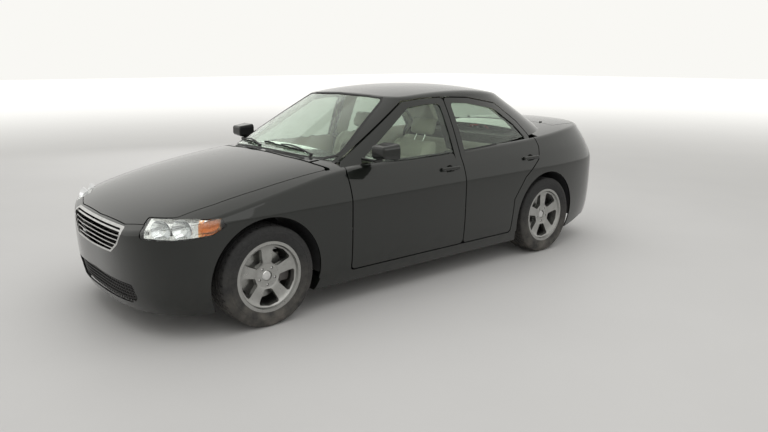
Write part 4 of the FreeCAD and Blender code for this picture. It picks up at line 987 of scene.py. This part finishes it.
def end_pad(made, cap, place, channels, half, depth=0.005):
    """The blown up cloth within a cap, smoothed once, with sewn channels, put in its place."""
    start = [v.co.copy() for v in made.data.vertices]
    mesh = evaluated_mesh(made)
    for vertex, origin in zip(mesh.vertices, start):
        step = vertex.co - origin
        if step.length > cap:
            vertex.co = origin + step.normalized() * cap
    swap_mesh(made, mesh)
    smooth = made.modifiers.new("smooth", "SUBSURF")
    smooth.levels = 1
    smooth.render_levels = 1
    swap_mesh(made, evaluated_mesh(made))
    for vertex in made.data.vertices:
        p = vertex.co
        if p.z > 0 and abs(p.y) < half * 0.62:
            dip = sum(math.exp(-((p.x - x) / 0.009) ** 2) for x in channels)
            p.z -= depth * dip * min(1.0, (half * 0.62 - abs(p.y)) / 0.02)
    made.data.transform(place)
    made.data.polygons.foreach_set("use_smooth", [True] * len(made.data.polygons))


def seam_line(made, place, start, end, steps=40, radius=0.0028):
    """Piping laid on a pad's upper face between two places on it."""
    tree = skin_of(made.data)
    down = (place.to_3x3() @ Vector((0, 0, -1))).normalized()
    points = []
    normals = []
    for i in range(steps + 1):
        x = start[0] + (end[0] - start[0]) * i / steps
        y = start[1] + (end[1] - start[1]) * i / steps
        hit, normal = seen_from(tree, place @ Vector((x, y, 0.6)), down)
        if hit:
            points.append(hit)
            normals.append(normal)
    return ribbon(points, normals, oval(radius * 2, radius * 2, 8), closed=False)


def leaning(rise, run):
    """A turn that stands a pad up along its lean, with its upper face forwards."""
    lean = math.atan2(rise, run)
    c = math.cos(lean)
    s = math.sin(lean)
    return Matrix(((c, 0, s, 0), (0, 1, 0, 0), (s, 0, -c, 0), (0, 0, 0, 1)))


def seats():
    """Front seats and rear seat as padded pieces with piping; their plain bases are made by seat_bases."""
    low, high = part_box("front_seat_left")
    y = (low.y + high.y) / 2
    half = (high.y - low.y) / 2
    turn = leaning(0.60, -0.20)
    rear_low, rear_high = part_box("rear_seat")
    rear_half = (rear_high.y - rear_low.y) / 2
    rear_turn = leaning(0.455, -0.19)
    tilt = Matrix.Rotation(math.radians(-5), 4, "Y")
    pads = [
        ("front_cushion", 0.50, half - 0.012, 0.135, 0.030, [0.12, 0.20, 0.28, 0.36],
         Matrix.Translation((high.x - 0.52, y, 0.392)) @ tilt, 0.010),
        ("front_backrest", 0.60, half - 0.020, 0.110, 0.032, [0.14, 0.24, 0.34, 0.44],
         Matrix.Translation((-0.012, y, 0.440)) @ turn, 0.010),
        ("front_head_rest", 0.125, 0.118, 0.070, 0.0, [],
         Matrix.Translation((-0.248, y, 1.052)) @ turn, 0.008),
        ("rear_cushion", 0.50, rear_half - 0.015, 0.160, 0.012, [0.10, 0.20, 0.30, 0.40],
         Matrix.Translation((-0.835, 0, 0.440)) @ tilt, 0.012),
        ("rear_backrest", 0.455, rear_half - 0.015, 0.120, 0.014, [0.10, 0.19, 0.28, 0.37],
         Matrix.Translation((-0.815, 0, 0.505)) @ rear_turn, 0.012),
    ]
    begun = []
    for row in pads:
        voxel = 0.007 if row[1] < 0.2 else 0.0125
        begun.append((row, start_pad(row[0], pad_shape(*row[1:5]), voxel)))
    for number in range(1, cloth_frames + 1):
        bpy.context.scene.frame_set(number)
    for (name, length, wide, _, _, channels, place, cap), made in begun:
        end_pad(made, cap, place, channels, wide)
        made.data.materials.append(finishes["seat_cloth"])
        seams = []
        if length > 0.2:
            for across in (wide * 0.63, -wide * 0.63) + ((0.0,) if "rear" in name else ()):
                seams.append(seam_line(made, place, (0.03, across), (length - 0.03, across)))
        copies = [("", made)]
        if "front" in name:
            mesh = made.data.copy()
            mesh.transform(Matrix.Scale(-1, 4, (0, 1, 0)))
            mesh.flip_normals()
            copies = [("_left", made), ("_right", new_object(name + "_right", mesh))]
            made.name = name + "_left"
        for suffix, pad in copies:
            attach(pad, "body")
            if name == "front_cushion":
                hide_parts("front_seat" + suffix)
            if name == "rear_cushion":
                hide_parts("rear_seat")
            if seams:
                shape = together(seams)
                shape = flipped(shape) if suffix == "_right" else shape
                piece(name + "_piping" + suffix, shape, "body", "piping")


def lying_box(x0, x1, y0, y1, z0, z1, edge=0.012, steps=4):
    """A box with rounded upright edges and softened rims."""
    section = rounded_box(x1 - x0, y1 - y0, min(0.45, edge / min(x1 - x0, y1 - y0)), steps)
    cx, cy = (x0 + x1) / 2, (y0 + y1) / 2
    rows = []
    soft = min(edge, (z1 - z0) / 3)
    for z, shrink in ((z0, soft), (z0 + soft * 0.3, soft * 0.3), (z0 + soft, 0),
                      (z1 - soft, 0), (z1 - soft * 0.3, soft * 0.3), (z1, soft)):
        kx = 1 - 2 * shrink / (x1 - x0)
        ky = 1 - 2 * shrink / (y1 - y0)
        rows.append([Vector((cx + a * kx, cy + b * ky, z)) for a, b in section])
    return capped_grid(rows)


def seat_bases():
    """Bases and runners of the front seats, stalks of their head rests, and boards under the rear seat."""
    low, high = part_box("front_seat_left")
    y = (low.y + high.y) / 2
    shapes = [lying_box(0.06, 0.46, y - 0.19, y + 0.19, 0.245, 0.335, 0.02)]
    for side in (-0.16, 0.16):
        shapes.append(lying_box(0.02, 0.50, y + side - 0.015, y + side + 0.015, 0.220, 0.248, 0.004))
    shapes.append(lying_box(-0.05, 0.10, y + 0.225, y + 0.243, 0.33, 0.43, 0.006))
    stalks = []
    for side in (-0.05, 0.05):
        path = [Vector((-0.205, y + side, 0.985)), Vector((-0.252, y + side, 1.075))]
        stalks.append(swept(path, oval(0.011, 0.011, 10), up=Vector((0, 1, 0))))
    both_sides("seat_base", together(shapes), "dash_plastic")
    both_sides("head_rest_stalks", together(stalks), "bright_metal")
    boards = [lying_box(-0.82, -0.36, right, left, 0.222, 0.372, 0.02)
              for right, left in ((0.15, 0.63), (-0.63, -0.15))]
    piece("rear_seat_board", together(boards), "body", "carpet")


# Cabin and engine bay

def door_trims():
    """Armrest, pull and release handle on the inner face of each left door, and their mirrored copies."""
    for end, back, front in (("front", 0.10, 0.62), ("rear", -0.74, -0.34)):
        door = end + "_door"
        skin = surface_of(door + "_left")
        points = []
        for k in range(15):
            x = back + (front - back) * k / 14
            hit, _ = seen_from(skin, (x, 0.2, 0.70), (0, 1, 0))
            if hit:
                points.append(hit)
        if len(points) < 4:
            continue
        rest = []
        count = len(points) - 1
        for k, point in enumerate(points):
            share = k / count
            swell = math.sin(math.pi * min(1, max(0, share * 1.02 - 0.01))) ** 0.35
            section = rounded_box(0.052 * (0.35 + 0.65 * swell), 0.038 * (0.5 + 0.5 * swell), 0.42, 4)
            rest.append([point + Vector((0, -0.018 * swell - 0.004 + a, b)) for a, b in section])
        shapes = [capped_grid(rest)]
        x = front - 0.10
        hit, _ = seen_from(skin, (x, 0.2, 0.80), (0, 1, 0))
        metal_shapes = []
        if hit:
            cup = closed_turn([(r + 0.0003, y) for r, y in (
                (0.0, 0.0), (0.034, -0.001), (0.038, -0.006),
                (0.034, -0.008), (0.030, -0.004), (0.0, -0.003))], 28)
            shapes.append(moved(cup, Matrix.Translation(hit)))
            lever = [hit + Vector((0.026 - 0.056 * t, -0.012 - 0.004 * math.sin(math.pi * t), 0.0))
                     for t in [q / 8 for q in range(9)]]
            metal_shapes.append(swept(lever, rounded_box(0.012, 0.007, 0.4, 3)))
        both_sides(door + "_armrest", together(shapes), "dash_plastic", door)
        if metal_shapes:
            both_sides(door + "_release", together(metal_shapes), "bright_metal", door)


def dash_details():
    """Dials, vents, radio, knobs, stalks, gear lever and hand brake."""
    skin = surface_of("dashboard")
    wheel = middle("steering_wheel")

    def on_dash(y, z):
        return seen_from(skin, (-0.4, y, z), (1, 0, 0))[0]

    rings = []
    faces = []
    needles = []
    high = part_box("dashboard")[1]
    for y, radius in ((wheel.y - 0.058, 0.045), (wheel.y + 0.058, 0.045), (wheel.y, 0.026)):
        hit = on_dash(y, high.z - 0.085 if radius > 0.03 else high.z - 0.10)
        if not hit:
            continue
        face = towards(hit + Vector((-0.003, 0, 0)), math.pi)
        ring = [(radius, 0.002), (radius + 0.004, 0.004), (radius + 0.006, 0.001), (radius + 0.004, -0.004),
                (radius, -0.003)]
        disc = [(0.0003, 0.0), (radius, 0.0), (radius, -0.002), (0.0003, -0.002)]
        rings.append(moved(closed_turn(ring, 40), face))
        faces.append(moved(closed_turn(disc, 40), face))
        for k in range(13):
            turn = Matrix.Rotation(math.radians(-130 + 260 * k / 12), 4, "Y")
            mark = lying_box(-0.0006, 0.0006, 0.0002, 0.001, radius * 0.80, radius * 0.94, 0.0004, 1)
            needles.append(moved(mark, face @ turn))
        needle = lying_box(-0.0009, 0.0009, 0.0015, 0.0028, -radius * 0.15, radius * 0.78, 0.0006, 1)
        needles.append(moved(needle, face @ Matrix.Rotation(math.radians(-100), 4, "Y")))
    if rings:
        piece("dial_rings", together(rings), "body", "bright_metal")
        piece("dial_faces", together(faces), "body", "black_trim")
        piece("dial_marks", together(needles), "body", "mark_white")
    vents = []
    for y in (-0.60, -0.085, 0.085, 0.60):
        hit = on_dash(y, high.z - 0.115)
        if not hit:
            continue
        frame_section = rounded_box(0.125, 0.052, 0.3, 4)
        rows = []
        for wide, high_share, depth in ((1.0, 1.0, 0.0), (1.0, 1.0, 0.006), (0.9, 0.9 * 0.92, 0.007),
                                        (0.88, 0.88 * 0.92, 0.0)):
            rows.append([hit + Vector((-depth, a * wide, b * high_share)) for a, b in frame_section])
        vents.append(grid(rows, closed_rows=True, closed_columns=True))
        for k in range(4):
            z = hit.z + 0.015 - 0.010 * k
            vents.append(lying_box(hit.x - 0.006, hit.x + 0.004, hit.y - 0.054, hit.y + 0.054,
                                   z - 0.0012, z + 0.0012, 0.001, 1))
    knobs = []
    turner = [(0.0003, 0.017), (0.014, 0.016), (0.016, 0.013), (0.018, -0.002), (0.0003, -0.002)]
    turner = closed_turn(turner, 24)
    for y in (-0.055, 0.0, 0.055):
        hit = on_dash(y, high.z - 0.26)
        if hit:
            knobs.append(moved(turner, towards(hit, math.pi)))
    radio = on_dash(0.0, high.z - 0.195)
    if radio:
        knobs.append(lying_box(radio.x - 0.006, radio.x + 0.01, -0.088, 0.088,
                               radio.z - 0.024, radio.z + 0.024, 0.004, 2))
        for k in range(6):
            y = -0.055 + 0.022 * k
            knobs.append(lying_box(radio.x - 0.010, radio.x - 0.004, y - 0.008, y + 0.008,
                                   radio.z - 0.018, radio.z - 0.008, 0.002, 2))
    down = Vector((0, 0, -1))
    lever, _ = seen_from(skin, (0.30, 0.0, 1.2), down)
    if lever:
        gaiter = []
        for share in (0.0, 0.15, 0.3, 0.45, 0.6, 0.75, 0.9, 1.0):
            ripple = 1.0 + 0.10 * math.sin(share * 6 * math.pi)
            wide = 0.105 * (1 - 0.78 * share) * ripple
            section = rounded_box(wide, 0.085 * (1 - 0.74 * share) * ripple, 0.35, 4)
            gaiter.append([lever + Vector((a - 0.012 * share, b, 0.075 * share - 0.002)) for a, b in section])
        knobs.append(capped_grid(gaiter))
        knob = [(0.0003, 0.0), (0.010, 0.0), (0.013, 0.012), (0.0205, 0.030), (0.021, 0.040), (0.014, 0.052),
                (0.0003, 0.055)]
        stand = Matrix.Translation(lever + Vector((-0.018, 0, 0.125)))
        stand = stand @ Matrix.Rotation(math.radians(90), 4, "X")
        knobs.append(moved(closed_turn(knob, 24), stand))
        rod = [lever + Vector((-0.012, 0, 0.065)), lever + Vector((-0.018, 0, 0.128))]
        rod = swept(rod, oval(0.011, 0.011, 12), Vector((0, 1, 0)))
        piece("gear_lever_rod", rod, "body", "bright_metal")
    floor = surface_of("floor_pan")
    brake, _ = seen_from(floor, (0.05, 0.0, 1.0), down)
    if brake:
        path = [Vector((x, 0, brake.z + rise)) for x, rise in (
            (0.0, 0.0), (0.03, 0.035), (0.10, 0.052), (0.20, 0.062), (0.26, 0.070))]
        knobs.append(swept(path, rounded_box(0.024, 0.022, 0.4, 4)))
    stalk = [wheel + Vector(step) for step in (
        (0.08, -0.02, 0.01), (0.06, -0.10, 0.03), (0.045, -0.155, 0.045))]
    for path in (stalk, [Vector((p.x, 2 * wheel.y - p.y, p.z)) for p in stalk]):
        knobs.append(swept(path, rounded_box(0.014, 0.009, 0.4, 3)))
    piece("dash_vents", together(vents), "body", "black_trim")
    piece("cabin_controls", together(knobs), "body", "black_trim")


def engine_details():
    """Ribbed cover with its filler cap on top of the engine."""
    skin = surface_of("engine_block")
    low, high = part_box("engine_block")
    centre = (low + high) / 2
    half_x = (high.x - low.x) * 0.28
    half_y = (high.y - low.y) * 0.20
    top, _ = seen_from(skin, (centre.x, centre.y, 2.0), (0, 0, -1))
    cover = [lying_box(centre.x - half_x, centre.x + half_x, centre.y - half_y, centre.y + half_y,
                       top.z - 0.002, top.z + 0.010, 0.02)]
    for k in range(7):
        y = centre.y + half_y * (-0.75 + 0.25 * k)
        cover.append(lying_box(centre.x - half_x * 0.86, centre.x + half_x * 0.62, y - 0.004, y + 0.004,
                               top.z + 0.009, top.z + 0.014, 0.003, 2))
    cap = closed_turn([(0.0003, 0.022), (0.020, 0.021), (0.024, 0.017), (0.024, 0.0), (0.0003, 0.0)], 24)
    foot = Matrix.Translation((centre.x + half_x * 0.78, centre.y, top.z + 0.008))
    stand = foot @ Matrix.Rotation(math.radians(90), 4, "X")
    piece("engine_cover", together(cover + [moved(cap, stand)]), "body", "black_trim")


def rear_lining():
    """Shelf under the rear window and board behind the rear seat, which shut the cabin off from the boot."""
    shelf = lying_box(-1.50, -1.075, -0.56, 0.56, 0.972, 0.984, 0.05, 5)
    grilles = []
    for side in (-0.33, 0.33):
        for k in range(7):
            x = -1.36 + 0.022 * k
            slot = lying_box(x - 0.005, x + 0.005, side - 0.075, side + 0.075, 0.982, 0.987, 0.003, 2)
            grilles.append(slot)
    board = lying_box(-1.099, -1.085, -0.60, 0.60, 0.44, 0.972, 0.006, 2)
    piece("parcel_shelf", together([shelf, board]), "body", "carpet")
    piece("shelf_grilles", together(grilles), "body", "black_trim")


def intake_edges(steps=41):
    """Lower and upper edge of the bumper's intake, column by column across the car."""
    skin = surface_of("front_bumper")
    made = []
    reach = 0.60
    lowest, rise = 0.165, 0.0026
    edge = 0.012
    for i in range(steps):
        y = -reach + 2 * reach * i / (steps - 1)
        before = None
        after = None
        last = None
        for k in range(120):
            z = lowest + rise * k
            hit, _ = seen_from(skin, (4, y, z), (-1, 0, 0))
            x = hit.x if hit else -9.0
            if before is None and last is not None and last[0] - x > edge:
                before = last
            elif before is not None and x - last[0] > edge:
                after = (x, z)
                break
            last = (x, z)
        if before and after and after[1] - before[1] > 0.015:
            made.append((y, before, after))
    for _ in range(2):
        made = [made[0]] + [
            (b[0], *(tuple((p + 2 * q + r) / 4 for p, q, r in zip(a[n], b[n], c[n])) for n in (1, 2)))
            for a, b, c in zip(made, made[1:], made[2:])] + [made[-1]]
    return made


def intake():
    """Dark back and crossing bars in the bumper's lower intake."""
    edges = intake_edges()
    if len(edges) < 5:
        return
    rows = 7

    def point(column, share, depth):
        y, (x0, z0), (x1, z1) = column
        return Vector((x0 + (x1 - x0) * share - depth, y, z0 + (z1 - z0) * share))

    back = [[point(column, k / (rows - 1), 0.034) for k in range(rows)] for column in edges]
    bars = []
    for k in range(1, rows - 1):
        path = [point(column, k / (rows - 1), 0.018) for column in edges]
        bars.append(ribbon(path, [Vector((1, 0, 0))] * len(path), rounded_box(0.005, 0.008), closed=False))
    for column in edges[1:-1]:
        path = [point(column, k / (rows - 1), 0.020) for k in range(rows)]
        bars.append(ribbon(path, [Vector((1, 0, 0))] * len(path), rounded_box(0.004, 0.006), closed=False))
    piece("intake_back", thick(back, Vector((-0.002, 0, 0))), "body", "lower_plastic")
    piece("intake_bars", together(bars), "body", "black_trim")


# Studio

def studio():
    """Pale floor, soft lamps and the photograph's camera."""
    scene = bpy.context.scene
    scene.view_settings.view_transform = "Standard"
    made, tree, shader = finish("studio_floor", Roughness=0.55)
    tone = effect(tree, "mottle", First=floor_colour, Second=shaded(floor_colour, 0.97), Scale=0.8)
    place = add(tree, "TexCoord").outputs["Object"]
    reach = add(tree, "VectorMath", {}, {0: place}, operation="LENGTH")
    fade = add(tree, "MapRange", {"From Min": floor_fade[0], "From Max": floor_fade[1]},
               {"Value": reach.outputs["Value"]}, interpolation_type="SMOOTHSTEP")
    path = add(tree, "LightPath")
    shown = add(tree, "Math", {}, {0: fade.outputs["Result"], 1: path.outputs["Is Camera Ray"]},
                operation="MULTIPLY")
    black = (0.0, 0.0, 0.0, 1)
    shown = shown.outputs["Value"]
    tree.links.new(blend_colours(tree, shown, tone.outputs["Color"], black), shader.inputs["Base Color"])
    tree.links.new(blend_colours(tree, shown, black, backdrop_colour), shader.inputs["Emission Color"])
    shader.inputs["Emission Strength"].default_value = 1.0
    finishes["studio_floor"] = made
    corners = [(x * floor_reach, y * floor_reach, 0) for x, y in ((-1, -1), (1, -1), (1, 1), (-1, 1))]
    mesh = new_mesh("studio_floor", (corners, [(0, 1, 2, 3)]))
    mesh.materials.append(made)
    floor = new_object("studio_floor", mesh)

    world = bpy.data.worlds.new("studio")
    scene.world = world
    world.use_nodes = True
    tree = world.node_tree
    sky = tree.nodes["Background"]
    path = add(tree, "LightPath")
    seen = add(tree, "Math", {}, {0: path.outputs["Is Camera Ray"], 1: path.outputs["Is Transmission Ray"]},
               operation="MAXIMUM")
    level = add(tree, "MapRange", {"To Min": 0.74, "To Max": 1.0}, {"Value": seen.outputs["Value"]})
    mirrored = add(tree, "Math", {1: 0.14}, {0: path.outputs["Is Glossy Ray"]}, operation="MULTIPLY")
    total = add(tree, "Math", {}, {0: level.outputs["Result"], 1: mirrored.outputs["Value"]}, operation="ADD")
    tree.links.new(total.outputs["Value"], sky.inputs["Strength"])
    sky.inputs["Color"].default_value = backdrop_colour

    for name, place, aim, reach, power in (
        ("overhead", (0.2, 0.0, 5.0), (0.2, 0.0, 0.0), 8.0, 165),
        ("near_side", (1.0, 7.0, 3.6), (0.2, 0.0, 0.5), 5.0, 50),
        ("far_side", (-2.0, -7.0, 3.6), (0.0, 0.0, 0.5), 5.0, 90),
    ):
        data = bpy.data.lights.new(name, "AREA")
        data.size = reach
        data.energy = power
        lamp = new_object(name, data)
        lamp.location = place
        lamp.visible_glossy = name == "near_side"
        lamp.rotation_euler = (Vector(aim) - Vector(place)).to_track_quat("-Z", "Y").to_euler()

    data = bpy.data.cameras.new("photo_view")
    data.sensor_width = sensor_width
    data.lens = focal_pixels / photo_width * data.sensor_width
    camera = new_object("photo_view", data)
    camera.location = Vector((wheelbase_middle, 0, 0)) + camera_offset
    level = math.cos(camera_pitch)
    ahead = Vector((level * math.cos(camera_heading), level * math.sin(camera_heading),
                    -math.sin(camera_pitch)))
    camera.rotation_euler = ahead.to_track_quat("-Z", "Y").to_euler()
    scene.camera = camera


wheels()
lamps()
seals()
wipers()
mirror_glass()
seats()
seat_bases()
door_trims()
dash_details()
engine_details()
rear_lining()
intake()
studio()
